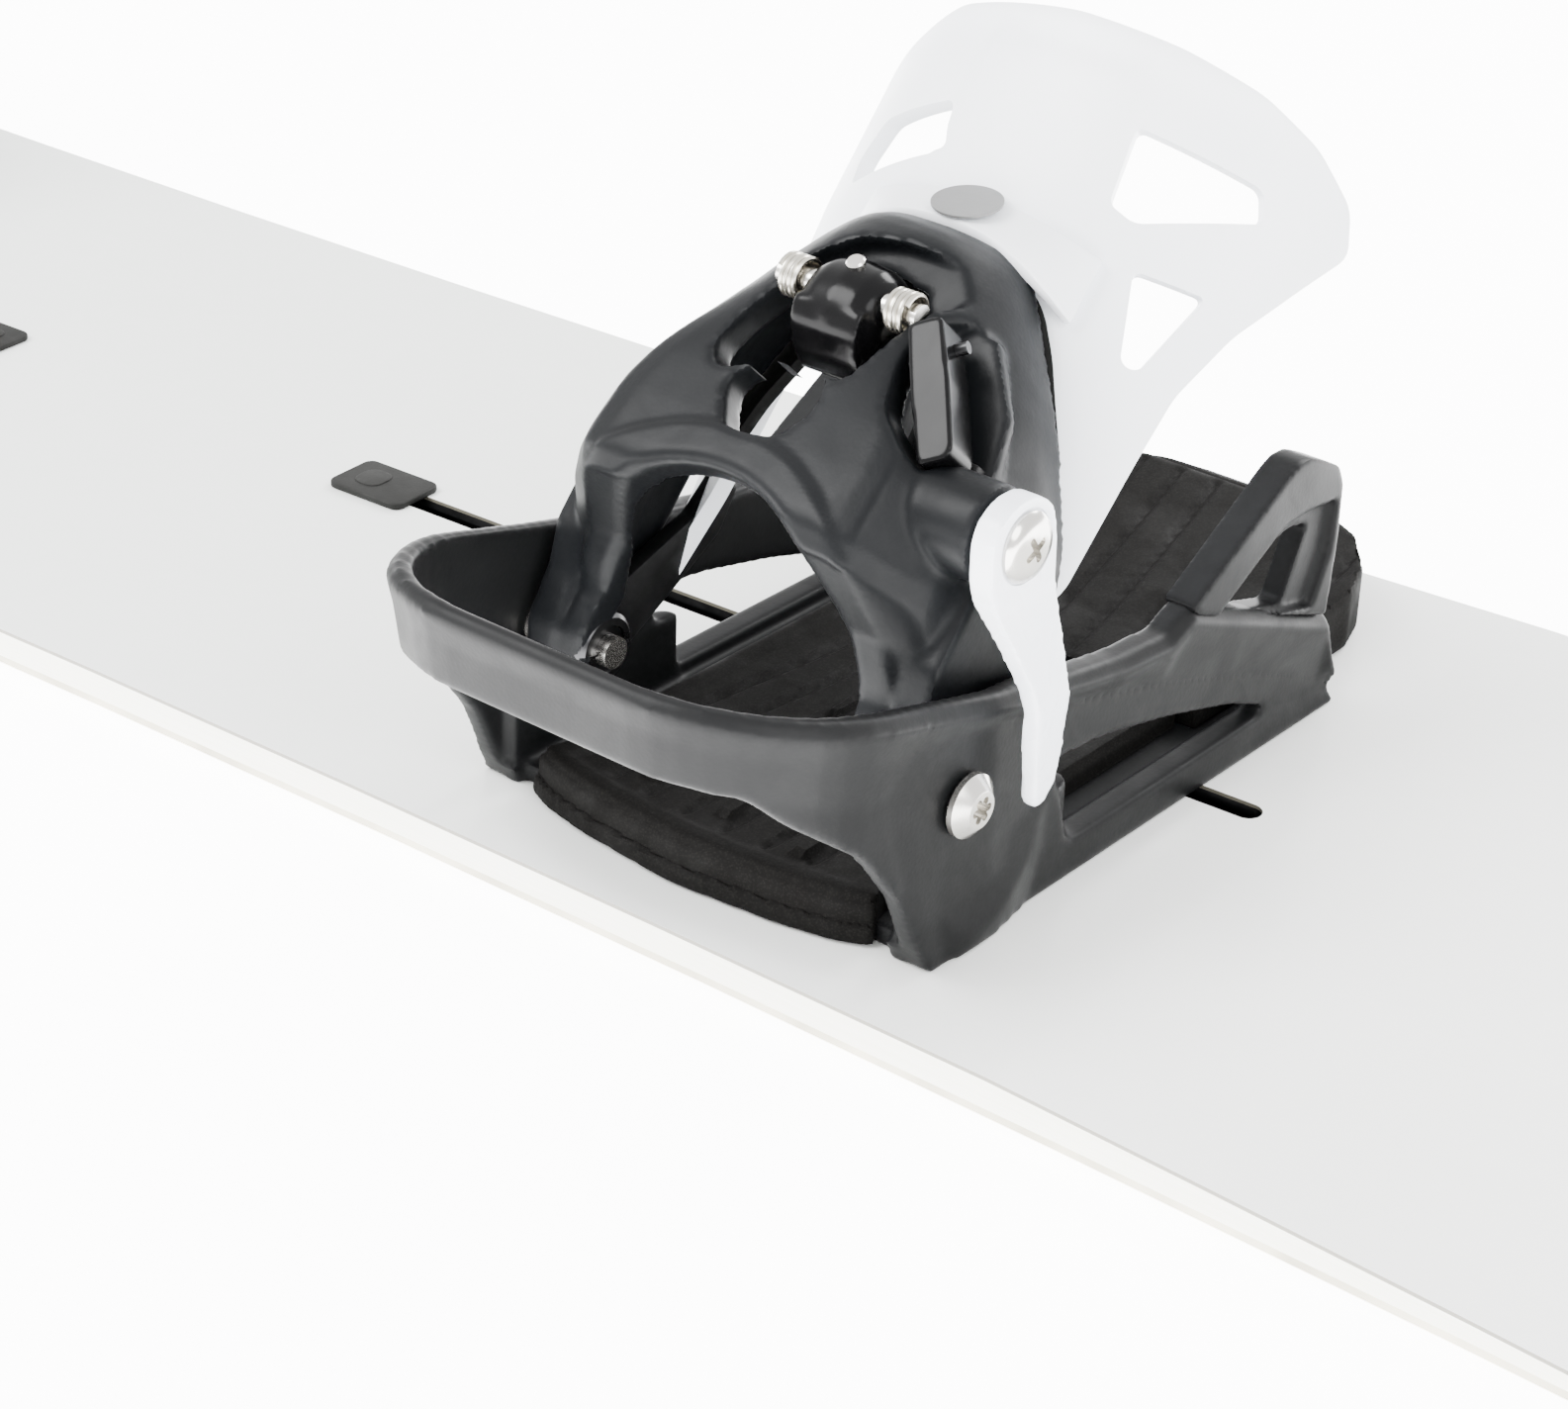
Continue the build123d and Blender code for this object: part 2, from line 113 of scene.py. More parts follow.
def studio():
    bm = bmesh.new()
    bmesh.ops.create_grid(bm, x_segments=2, y_segments=2, size=FLOOR_HALF)
    mesh = bpy.data.meshes.new("floor")
    bm.to_mesh(mesh)
    floor = bpy.data.objects.new("floor", mesh)
    floor.location.z = -0.0005            # a hair below the board, so that the two don't flicker
    bpy.context.scene.collection.objects.link(floor)
    mesh.materials.append(floor_paint())
    world = bpy.data.worlds.new("studio")
    world.use_nodes = True
    world.node_tree.nodes["Background"].inputs["Color"].default_value = (1, 1, 1, 1)
    world.node_tree.nodes["Background"].inputs["Strength"].default_value = SKY_STRENGTH
    bpy.context.scene.world = world
    for light in LIGHTS:
        soft_light(*light)


# ---- node groups shared by the materials
def new_group(name, inputs, outputs):
    group = bpy.data.node_groups.new(name, "ShaderNodeTree")
    for label, value in inputs:
        socket = group.interface.new_socket(label, in_out="INPUT", socket_type="NodeSocketFloat")
        socket.default_value = value
    for label in outputs:
        group.interface.new_socket(label, in_out="OUTPUT", socket_type="NodeSocketFloat")
    return group, group.nodes.new("NodeGroupInput"), group.nodes.new("NodeGroupOutput")


def node(tree, kind, links=(), **settings):
    """A shader node with its settings, and (input, socket or value) pairs."""
    made = tree.nodes.new(kind)
    for label, value in settings.items():
        setattr(made, label, value)
    for label, source in links:
        if isinstance(source, bpy.types.NodeSocket):
            tree.links.new(source, made.inputs[label])
        else:
            made.inputs[label].default_value = source
    return made


def grain_group():
    """Fine mould texture: a bump height, a slow tone and a roughness spread."""
    group, given, result = new_group("mould_grain", [("Scale", 900.0)], ["Height", "Tone", "Rough"])
    place = node(group, "ShaderNodeTexCoord").outputs["Object"]
    fine = node(group, "ShaderNodeTexNoise", [("Vector", place), ("Scale", given.outputs["Scale"]),
                                              ("Detail", 3.0), ("Roughness", 0.6)])
    pits = node(group, "ShaderNodeTexVoronoi", [("Vector", place), ("Scale", given.outputs["Scale"])])
    slow = node(group, "ShaderNodeTexNoise", [("Vector", place), ("Scale", 22.0), ("Detail", 4.0)])
    smudge = node(group, "ShaderNodeTexNoise", [("Vector", place), ("Scale", 70.0), ("Detail", 6.0),
                                                ("Distortion", 0.8)])
    height = node(group, "ShaderNodeMath", [(0, fine.outputs["Fac"]), (1, pits.outputs["Distance"])],
                  operation="ADD")
    group.links.new(height.outputs[0], result.inputs["Height"])
    group.links.new(slow.outputs["Fac"], result.inputs["Tone"])
    group.links.new(smudge.outputs["Fac"], result.inputs["Rough"])
    return group


def wear_group():
    """A mask that is one along convex edges, broken up by noise."""
    group, given, result = new_group("edge_wear", [("Amount", 1.0)], ["Mask"])
    edge = node(group, "ShaderNodeNewGeometry").outputs["Pointiness"]
    place = node(group, "ShaderNodeTexCoord").outputs["Object"]
    broken = node(group, "ShaderNodeTexNoise", [("Vector", place), ("Scale", 160.0), ("Detail", 5.0)])
    near = node(group, "ShaderNodeMapRange", [("Value", edge), ("From Min", 0.515), ("From Max", 0.60)])
    spread = node(group, "ShaderNodeMapRange", [("Value", broken.outputs["Fac"]), ("From Min", 0.3),
                                                ("From Max", 0.62)])
    both = node(group, "ShaderNodeMath", [(0, near.outputs["Result"]), (1, spread.outputs["Result"])],
                operation="MULTIPLY")
    scaled = node(group, "ShaderNodeMath", [(0, both.outputs[0]), (1, given.outputs["Amount"])],
                  operation="MULTIPLY")
    group.links.new(scaled.outputs[0], result.inputs["Mask"])
    return group


def brush_group():
    """Fine scratches along X and Y, for turned and ground metal."""
    group, given, result = new_group("brushed", [("Scale", 60.0)], ["Height", "Rough"])
    place = node(group, "ShaderNodeTexCoord").outputs["Object"]
    long = node(group, "ShaderNodeMapping", [("Vector", place), ("Scale", (1.0, 30.0, 30.0))])
    lines = node(group, "ShaderNodeTexNoise", [("Vector", long.outputs[0]),
                                               ("Scale", given.outputs["Scale"]), ("Detail", 5.0)])
    stains = node(group, "ShaderNodeTexNoise", [("Vector", place), ("Scale", 45.0), ("Detail", 5.0)])
    group.links.new(lines.outputs["Fac"], result.inputs["Height"])
    group.links.new(stains.outputs["Fac"], result.inputs["Rough"])
    return group


GRAIN, WEAR, BRUSH = grain_group(), wear_group(), brush_group()


def use(tree, group, **values):
    made = tree.nodes.new("ShaderNodeGroup")
    made.node_tree = group
    for label, value in values.items():
        made.inputs[label].default_value = value
    return made


def blend_colours(tree, factor, first, second):
    mix = tree.nodes.new("ShaderNodeMix")
    mix.data_type = "RGBA"
    for socket, value in ((0, factor), (6, first), (7, second)):
        if isinstance(value, bpy.types.NodeSocket):
            tree.links.new(value, mix.inputs[socket])
        else:
            mix.inputs[socket].default_value = value if socket == 0 else (*value, 1.0)
    return mix.outputs[2]


def bump(tree, height, strength, distance):
    made = node(tree, "ShaderNodeBump", [("Height", height), ("Strength", strength),
                                         ("Distance", distance)])
    return made.outputs["Normal"]


def spread(tree, value, low, high, source_low=0.3, source_high=0.7):
    made = node(tree, "ShaderNodeMapRange", [("Value", value), ("From Min", source_low),
                                             ("From Max", source_high), ("To Min", low),
                                             ("To Max", high)])
    return made.outputs["Result"]


def paint(name, shader):
    """An empty node material; shader sockets are set from the given pairs."""
    made = bpy.data.materials.new(name)
    made.use_nodes = True
    surface = made.node_tree.nodes["Principled BSDF"]
    for label, value in shader.items():
        surface.inputs[label].default_value = value
    return made, made.node_tree, surface


def plastic(name, dark, light, rough, scale=900.0, depth=0.00003, wear=0.6, worn=None, **shader):
    """Moulded plastic: slow tone changes, grain in the bump, paler along worn edges."""
    made, tree, surface = paint(name, shader)
    grain = use(tree, GRAIN, Scale=scale)
    edges = use(tree, WEAR, Amount=wear)
    tone = spread(tree, grain.outputs["Tone"], 0.0, 1.0)
    body = blend_colours(tree, tone, dark, light)
    worn = worn or tuple(min(1.0, c * 1.9 + 0.02) for c in light)
    tree.links.new(blend_colours(tree, edges.outputs["Mask"], body, worn), surface.inputs["Base Color"])
    tree.links.new(spread(tree, grain.outputs["Rough"], *rough), surface.inputs["Roughness"])
    tree.links.new(bump(tree, grain.outputs["Height"], 0.5, depth), surface.inputs["Normal"])
    return made


def metal(name, colour, rough, scale=60.0):
    """Turned or ground metal: fine lines in the bump and slow dark stains."""
    made, tree, surface = paint(name, {"Metallic": 1.0})
    lines = use(tree, BRUSH, Scale=scale)
    stained = spread(tree, lines.outputs["Rough"], 0.0, 1.0, 0.35, 0.75)
    darker = tuple(c * 0.72 for c in colour)
    tree.links.new(blend_colours(tree, stained, colour, darker), surface.inputs["Base Color"])
    tree.links.new(spread(tree, lines.outputs["Rough"], *rough), surface.inputs["Roughness"])
    tree.links.new(bump(tree, lines.outputs["Height"], 0.25, 0.00002), surface.inputs["Normal"])
    return made


def floor_paint():
    """Pale ground that glows enough to stay white around the board."""
    made, tree, surface = paint("floor_paint", {})
    place = node(tree, "ShaderNodeTexCoord").outputs["Object"]
    slow = node(tree, "ShaderNodeTexNoise", [("Vector", place), ("Scale", 1.5)]).outputs["Fac"]
    tree.links.new(blend_colours(tree, slow, (0.93, 0.93, 0.93), (0.95, 0.95, 0.95)),
                   surface.inputs["Base Color"])
    tree.links.new(spread(tree, slow, 0.6, 0.7), surface.inputs["Roughness"])
    surface.inputs["Emission Color"].default_value = (1, 1, 1, 1)
    surface.inputs["Emission Strength"].default_value = FLOOR_GLOW
    return made


def topsheet_paint():
    """Lacquered sheet: pale green-grey to warm white along the board, brown at its cut edge."""
    made, tree, surface = paint("topsheet_lacquer", {"Coat Weight": 0.35, "Coat Roughness": 0.12})
    where = node(tree, "ShaderNodeTexCoord")
    split = node(tree, "ShaderNodeSeparateXYZ", [("Vector", where.outputs["Object"])])
    along = spread(tree, split.outputs["X"], 0.0, 1.0, 0.0, 0.55)
    facing = node(tree, "ShaderNodeSeparateXYZ", [("Vector", where.outputs["Normal"])])
    side = spread(tree, facing.outputs["Z"], 1.0, 0.0, 0.3, 0.7)
    grain = use(tree, GRAIN, Scale=600.0)
    white = blend_colours(tree, along, (0.865, 0.89, 0.865), (0.94, 0.94, 0.925))
    mottled = blend_colours(tree, spread(tree, grain.outputs["Rough"], 0.0, 0.06), white, (0.6, 0.62, 0.6))
    tree.links.new(blend_colours(tree, side, mottled, (0.16, 0.15, 0.12)), surface.inputs["Base Color"])
    tree.links.new(spread(tree, grain.outputs["Rough"], 0.30, 0.42), surface.inputs["Roughness"])
    tree.links.new(bump(tree, grain.outputs["Height"], 0.2, 0.00001), surface.inputs["Normal"])
    return made


def sidewall_paint():
    """Cream plastic with the thin saw and scraper lines of a planed edge."""
    made, tree, surface = paint("sidewall_cream", {})
    where = node(tree, "ShaderNodeTexCoord")
    stretched = node(tree, "ShaderNodeMapping", [("Vector", where.outputs["Object"]),
                                                 ("Scale", (6.0, 6.0, 900.0))])
    lines = node(tree, "ShaderNodeTexNoise", [("Vector", stretched.outputs[0]), ("Scale", 3.0),
                                              ("Detail", 4.0)]).outputs["Fac"]
    tree.links.new(blend_colours(tree, spread(tree, lines, 0.0, 1.0), (0.83, 0.82, 0.72),
                                 (0.90, 0.895, 0.82)), surface.inputs["Base Color"])
    tree.links.new(spread(tree, lines, 0.38, 0.55), surface.inputs["Roughness"])
    tree.links.new(bump(tree, lines, 0.3, 0.00004), surface.inputs["Normal"])
    return made


def foam_paint():
    """Black footbed foam: coarse crumb grain, dusty on its high spots."""
    made, tree, surface = paint("foam_black", {"Specular IOR Level": 0.08})
    grain = use(tree, GRAIN, Scale=750.0)
    place = node(tree, "ShaderNodeTexCoord").outputs["Object"]
    crumb = node(tree, "ShaderNodeTexVoronoi", [("Vector", place), ("Scale", 1500.0)])
    speck = spread(tree, crumb.outputs["Distance"], 1.0, 0.0, 0.05, 0.5)
    dark = blend_colours(tree, spread(tree, grain.outputs["Tone"], 0.0, 1.0), (0.0026, 0.00245, 0.0022),
                         (0.0043, 0.0040, 0.0037))
    tree.links.new(blend_colours(tree, speck, dark, (0.0085, 0.008, 0.0072)), surface.inputs["Base Color"])
    tree.links.new(spread(tree, grain.outputs["Rough"], 0.62, 0.85), surface.inputs["Roughness"])
    tree.links.new(bump(tree, grain.outputs["Height"], 0.6, 0.00006), surface.inputs["Normal"])
    return made


DULL = {"Specular IOR Level": 0.12}
CHARCOAL = plastic("nylon_charcoal", (0.0040, 0.0042, 0.0045), (0.0060, 0.0062, 0.0065), (0.40, 0.52),
                   worn=(0.013, 0.013, 0.014), **DULL)
CHARCOAL_ARCH = plastic("nylon_arch", (0.0032, 0.0036, 0.0042), (0.0046, 0.0051, 0.0059), (0.36, 0.48),
                        worn=(0.011, 0.012, 0.013), **DULL)
BLACK = plastic("nylon_black", (0.002, 0.002, 0.0022), (0.004, 0.004, 0.0043), (0.35, 0.5), **DULL)
GLOSS = plastic("nylon_gloss", (0.0015, 0.0015, 0.0017), (0.0025, 0.0025, 0.0028), (0.16, 0.26),
                depth=0.00001, wear=0.25, **DULL)
WHITE = plastic("nylon_white", (0.87, 0.895, 0.94), (0.91, 0.93, 0.96), (0.34, 0.46), scale=700.0,
                depth=0.000012, wear=0.3, worn=(0.92, 0.94, 0.97))
LEVER_WHITE = plastic("nylon_lever", (0.86, 0.89, 0.95), (0.90, 0.92, 0.97), (0.22, 0.34), scale=700.0,
                      depth=0.00001, wear=0.3, worn=(0.93, 0.95, 0.98))
RUBBER = plastic("rubber_black", (0.003, 0.003, 0.003), (0.006, 0.006, 0.0057), (0.55, 0.75),
                 scale=500.0, depth=0.00008, **DULL)
PLUG = plastic("rubber_plug", (0.010, 0.010, 0.0095), (0.015, 0.015, 0.0142), (0.5, 0.66), scale=1100.0,
               depth=0.00003, **DULL)
BADGE = plastic("badge_print", (0.13, 0.13, 0.13), (0.16, 0.16, 0.16), (0.3, 0.4), wear=0.0)
BADGE_RING = plastic("badge_ring", (0.74, 0.74, 0.74), (0.8, 0.8, 0.8), (0.3, 0.4), wear=0.0)
WOOD = plastic("core_wood", (0.48, 0.33, 0.19), (0.58, 0.42, 0.25), (0.5, 0.7), scale=300.0)
BASE = plastic("base_black", (0.02, 0.02, 0.021), (0.03, 0.03, 0.032), (0.4, 0.6), scale=1500.0)
STEEL = metal("steel_turned", (0.72, 0.70, 0.66), (0.16, 0.30))
EDGE_STEEL = metal("steel_edge", (0.50, 0.47, 0.38), (0.30, 0.5), scale=30.0)
SPRING = metal("steel_spring", (0.62, 0.59, 0.52), (0.2, 0.34))
ZINC = metal("steel_black", (0.05, 0.05, 0.052), (0.22, 0.36))
FOAM, TOPSHEET, SIDEWALL = foam_paint(), topsheet_paint(), sidewall_paint()


# ---- mesh tools, in millimetres
def smooth(value, low, high):
    """A soft step from 0 at low to 1 at high."""
    t = min(1.0, max(0.0, (value - low) / (high - low)))
    return t * t * (3 - 2 * t)


def along(table, value):
    """Straight runs between (key, value) pairs."""
    if value <= table[0][0]:
        return table[0][1]
    for (k0, v0), (k1, v1) in zip(table, table[1:]):
        if value <= k1:
            return v0 + (v1 - v0) * (value - k0) / (k1 - k0)
    return table[-1][1]


def lift(point, normal, depth):
    """A flat outline's point on the plane at that depth along x, y or z."""
    first, second = point
    return {"x": (depth, first, second), "y": (first, depth, second), "z": (first, second, depth)}[normal]


def slab(points, low, high, normal="z", corner=0.0, steps=4):
    """An outline with rounded corners, pushed from low to high along its normal."""
    bm = bmesh.new()
    ring = [bm.verts.new(lift(p, normal, low)) for p in points]
    bm.faces.new(ring)
    if corner:
        bmesh.ops.bevel(bm, geom=ring, offset=corner, affect="VERTICES", segments=steps, profile=0.5,
                        material=-1, clamp_overlap=True)
    moved = bmesh.ops.extrude_face_region(bm, geom=bm.faces[:])["geom"]
    bmesh.ops.translate(bm, verts=[g for g in moved if isinstance(g, bmesh.types.BMVert)],
                        vec=lift((0, 0), normal, high - low))
    bmesh.ops.recalc_face_normals(bm, faces=bm.faces[:])
    return bm


def turned(profile, steps=48, axis="x", at=(0, 0, 0)):
    """A round piece: (distance along the axis, radius) pairs spun once about X, or stood along Z."""
    bm = bmesh.new()
    verts = [bm.verts.new((d, r, 0)) for d, r in profile]
    edges = [bm.edges.new(pair) for pair in zip(verts, verts[1:])]
    bmesh.ops.spin(bm, geom=verts + edges, cent=(0, 0, 0), axis=(1, 0, 0), angle=2 * pi, steps=steps,
                   use_merge=True)
    bmesh.ops.remove_doubles(bm, verts=bm.verts[:], dist=0.0005)
    if axis == "z":
        bmesh.ops.rotate(bm, verts=bm.verts[:], matrix=Matrix.Rotation(-pi / 2, 3, "Y"))
    bmesh.ops.translate(bm, verts=bm.verts[:], vec=at)
    bmesh.ops.recalc_face_normals(bm, faces=bm.faces[:])
    return bm


def rod(radius, low, high, at=(0, 0), steps=48):
    """A plain bar along X at (y, z)."""
    return turned([(low, 0), (low, radius), (high, radius), (high, 0)], steps, at=(0, *at))


def shifted(bm, matrix):
    bmesh.ops.transform(bm, matrix=matrix, verts=bm.verts[:])
    return bm


def mirrored(bm):
    copy = bm.copy()
    bmesh.ops.transform(copy, matrix=MIRROR, verts=copy.verts[:])
    bmesh.ops.reverse_faces(copy, faces=copy.faces[:])
    return copy


def joined(*pieces):
    """All pieces in one bmesh."""
    whole = bmesh.new()
    for piece in pieces:
        mesh = bpy.data.meshes.new("part")
        piece.to_mesh(mesh)
        piece.free()
        whole.from_mesh(mesh)
        bpy.data.meshes.remove(mesh)
    return whole


def pair(bm):
    """A piece and its mirror image across the foot."""
    return joined(mirrored(bm), bm)


def stage_object(bm):
    mesh = bpy.data.meshes.new("bench")
    bm.to_mesh(mesh)
    bm.free()
    bench = bpy.data.objects.new("bench", mesh)
    bpy.context.scene.collection.objects.link(bench)
    return bench


def settle(bench, *helpers):
    """The modified shape of a bench object as a new bmesh; the bench is cleared."""
    graph = bpy.context.evaluated_depsgraph_get()
    mesh = bpy.data.meshes.new_from_object(bench.evaluated_get(graph))
    bm = bmesh.new()
    bm.from_mesh(mesh)
    for thing in (bench, *helpers):
        old = thing.data
        bpy.data.objects.remove(thing)
        bpy.data.meshes.remove(old)
    bpy.data.meshes.remove(mesh)
    return bm


def boolean(bm, tools, operation):
    bench = stage_object(bm)
    helpers = [stage_object(tool) for tool in tools]
    for helper in helpers:
        change = bench.modifiers.new("change", "BOOLEAN")
        change.operation, change.solver, change.object = operation, "EXACT", helper
    return settle(bench, *helpers)


def cut(bm, *tools):
    return boolean(bm, tools, "DIFFERENCE")


def keep(bm, *tools):
    return boolean(bm, tools, "INTERSECT")


def mould(bm, voxel, rounds=4):
    """Overlapping solids fused into one skin with the soft edges of a moulding."""
    bench = stage_object(bm)
    fuse = bench.modifiers.new("fuse", "REMESH")
    fuse.mode, fuse.voxel_size, fuse.use_smooth_shade = "VOXEL", voxel, True
    soften = bench.modifiers.new("soften", "SMOOTH")
    soften.factor, soften.iterations = 0.5, rounds
    return settle(bench)


def chamfered(bm, width, segments=2):
    """Every edge sharper than 50 degrees is rounded off."""
    sharp = [e for e in bm.edges if len(e.link_faces) == 2 and e.calc_face_angle(0) > radians(50)]
    bmesh.ops.bevel(bm, geom=sharp, offset=width, affect="EDGES", segments=segments, profile=0.5,
                    material=-1, clamp_overlap=True)
    return bm


def place(bm, name, body, replaces, material, slot, matrix=BINDING, extra=()):
    """The piece for the rear binding and its mirror image for the front one."""
    shifted(bm, matrix)
    made = []
    for side in SIDES:
        copy = mirrored(bm) if side == "front" else bm.copy()
        mesh = bpy.data.meshes.new(f"{name}_{side}")
        copy.to_mesh(mesh)
        copy.free()
        mesh.shade_smooth()
        mesh.set_sharp_from_angle(angle=SHARP_ANGLE)
        for paint_used in (material, *extra):
            mesh.materials.append(paint_used)
        piece = bpy.data.objects.new(f"{name}_{side}", mesh)
        bpy.context.scene.collection.objects.link(piece)
        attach(piece, body if body == "board" else f"{body}_{side}")
        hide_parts(*[f"{old}_{side}" for old in replaces])
        made.append(piece)
    bm.free()
    return made


# ---- baseplate with its heel ring
WALL_OUT, RING_OUT, WALL_IN, RING_IN = 67.0, 68.5, 58.0, 61.0         # half-widths
RING_BACK, RING_WALL, RING_CURVE = -163.0, 6.0, 42.0
FRONT_Y, FLOOR_BACK = 67.5, -103.0
# height of the rim and of the crease below it, against y
RIM = ((-165, 81), (-126, 72.5), (-94, 64), (-58, 55), (-32, 50.5), (-13, 49), (-4, 53), (60, 27), (66, 9))
CREASE = ((-165, 71), (-126, 61), (-94, 56), (-57, 48), (-15, 36.5), (20, 25), (58, 10), (66, 4))
# one row for each level of the hull, upwards: the line it follows, how far below it, its least
# height, how far it is drawn in at the ring, and how that changes between two places along y
HULL_LEVELS = ((CREASE, 0.0, 2.0, 1.2, 0.0, (-125, -100)),
               (CREASE, 11.0, 2.5, 3.8, -1.8, (-125, -100)),
               (CREASE, 0.0, 4.0, 2.4, 0.0, (-125, -100)),
               (RIM, 3.5, 5.5, 0.9, -1.2, (-100, -60)),
               (RIM, -1.0, 8.0, 4.4, -1.0, (-100, -60)))
WALL_STATIONS, RING_STATIONS = (64, 60, 45, 20, -4, -13, -32, -48, -66), (-82, -96, -110)
FOOT_TOP, LEAST_STEP = 12.0, 0.5


def plan_column(wall, ring, back, front, radius, low, high):
    """The binding's plan between two heights: straight sides and a round heel."""
    curve = [(ring - radius + radius * cos(t), back + radius - radius * sin(t))
             for t in (pi / 2 * i / 10 for i in range(11))]
    half = [(wall, y) for y in (front, *WALL_STATIONS)] + [(ring, y) for y in RING_STATIONS] + curve
    return slab(half + [(-x, y) for x, y in reversed(half)], low, high)


def outward(x, y):
    """The plan's outward direction at a point of the wall or the ring."""
    middle = RING_OUT - RING_CURVE
    if y > RING_BACK + RING_CURVE:
        return Vector((1 if x > 0 else -1, 0))
    if abs(x) < middle:
        return Vector((0, -1))
    return Vector((x - middle * (1 if x > 0 else -1), y - RING_BACK - RING_CURVE)).normalized()


def base_hull():
    """Outer form with its two long creases: one under the rim, one along the wall."""
    bm = plan_column(WALL_OUT, RING_OUT, RING_BACK, FRONT_Y, RING_CURVE, 0, 1)
    top = max(bm.faces, key=lambda f: f.calc_center_median().z)
    plan = {v: v.co.copy() for v in top.verts}
    for level, (line, drop, least, drawn_in, change, over) in enumerate(HULL_LEVELS):
        made = bmesh.ops.extrude_face_region(bm, geom=[top])["geom"]
        bmesh.ops.delete(bm, geom=[top], context="FACES_ONLY")
        top = next(g for g in made if isinstance(g, bmesh.types.BMFace))
        above = {}
        for vert in top.verts:
            below = next(e.other_vert(vert) for e in vert.link_edges if e.other_vert(vert) in plan)
            spot = plan[below]
            above[vert] = spot
            side = outward(spot.x, spot.y)
            inset = drawn_in + change * smooth(spot.y, *over)
            follow = along(line, spot.y)
            height = follow - drop if level else min(FOOT_TOP, follow * 0.4)
            height = max(height, least, below.co.z + LEAST_STEP)
            vert.co = (spot.x - side.x * inset, spot.y - side.y * inset, height)
        plan = above
    bmesh.ops.triangulate(bm, faces=[top])
    bmesh.ops.recalc_face_normals(bm, faces=bm.faces[:])
    return bm


def foot():
    """Flared toe of the heel corner, leaning against the wall."""
    plan = [(50, -106), (62, -106), (68, -101), (70.5, -93), (69.5, -80), (66.5, -64), (63, -46), (50, -46)]
    rise = [(50, 0), (71, 0), (71, 2.5), (69, 7), (66.8, 14), (66, 24), (50, 24)]
    hollow = slab([(30, -130), (57.5, -130), (57.5, -40), (30, -40)], -5, 40)
    return cut(keep(slab(plan, 0, 30, "z", 4, 3), slab(rise, -130, -30, "y", 1, 2)), hollow)


def baseplate():
    """Hull trimmed to its side outline, hollowed, pierced and fused with its two feet."""
    hull = base_hull()
    inner_back = RING_BACK + RING_WALL
    hollow = plan_column(WALL_IN, RING_IN, inner_back, FRONT_Y + 2, RING_CURVE - RING_WALL, FLOOR_Z, 95)
    side = [(-105, 0), (66, 0), (66, 9), (60, 27), (-4, 53), (-13, 49), (-32, 50.5), (-58, 55), (-94, 64),
            (-126, 72.5), (-170, 82), (-170, 61), (-150, 57), (-143, 50), (-127, 38), (-115, 22), (-109, 8)]
    window = [(-50, 9), (-56, 33), (-36, 31), (-9, 25), (19, 17), (38, 9)]
    body = keep(hull, slab(side, -90, 90, "x"))
    body = cut(body, hollow, slab(window, -90, 90, "x", 3, 3),
               slab([(-57, -180), (57, -180), (57, FLOOR_BACK), (-57, FLOOR_BACK)], -1, 8),
               turned([(-2, 0), (-2, 44.5), (9, 44.5), (9, 0)], axis="z"))
    heel_foot = foot()
    body = mould(joined(body, mirrored(heel_foot), heel_foot), 0.95, 10)
    recess = rod(8.8, 67.4, 84, (AXIS_Y, AXIS_Z))
    return cut(body, mirrored(recess), recess, rod(BOLT_HOLE_R, -90, 90, (AXIS_Y, AXIS_Z)))


# ---- pads
GROOVE_SPACING, GROOVE_DEPTH, BORDER_HEIGHT, STUD_HEIGHT = 12.0, 1.4, 0.7, 1.6
HEEL_LEAN, TOE_LEAN = -0.12, 0.2      # sideways run of the grooves for each millimetre of y


def groove_at(x, y, lean):
    """How deep in a lengthwise groove a point of a pad lies, from 0 to 1."""
    across = x + lean * y
    nearest = abs((across / GROOVE_SPACING) % 1.0 - 0.5) * GROOVE_SPACING
    return 1.0 - smooth(nearest, 0.3, 2.2)


def heel_edge(x, y):
    """Distance from a point to the heel pad's edge."""
    return min(48 - abs(x), y + 111 - 6.0 * (abs(x) / 48) ** 2)


def toe_edge(x, y):
    """Distance from a point to the toe pad's edge."""
    return min(54 - abs(x), 126 - y, (180 - abs(x) - y) * 0.72)


def pad_surface(bm, edge_distance, lean, studs):
    """Grooves, a raised border and small studs on the upward faces of a pad."""
    for vert in bm.verts:
        if vert.normal.z < 0.55:
            continue
        x, y = vert.co.x, vert.co.y
        rim = edge_distance(x, y)
        groove = groove_at(x, y, lean) * smooth(rim, 6, 8)
        border = smooth(rim, 5.2, 4.2) if rim > 3 else 1.0
        stud = max(1.0 - smooth(max(abs(x - sx) / 2.0, abs(y - sy) / 5.0), 0.7, 1.1) for sx, sy in studs)
        vert.co.z += -GROOVE_DEPTH * groove + BORDER_HEIGHT * border + STUD_HEIGHT * stud
    return bm


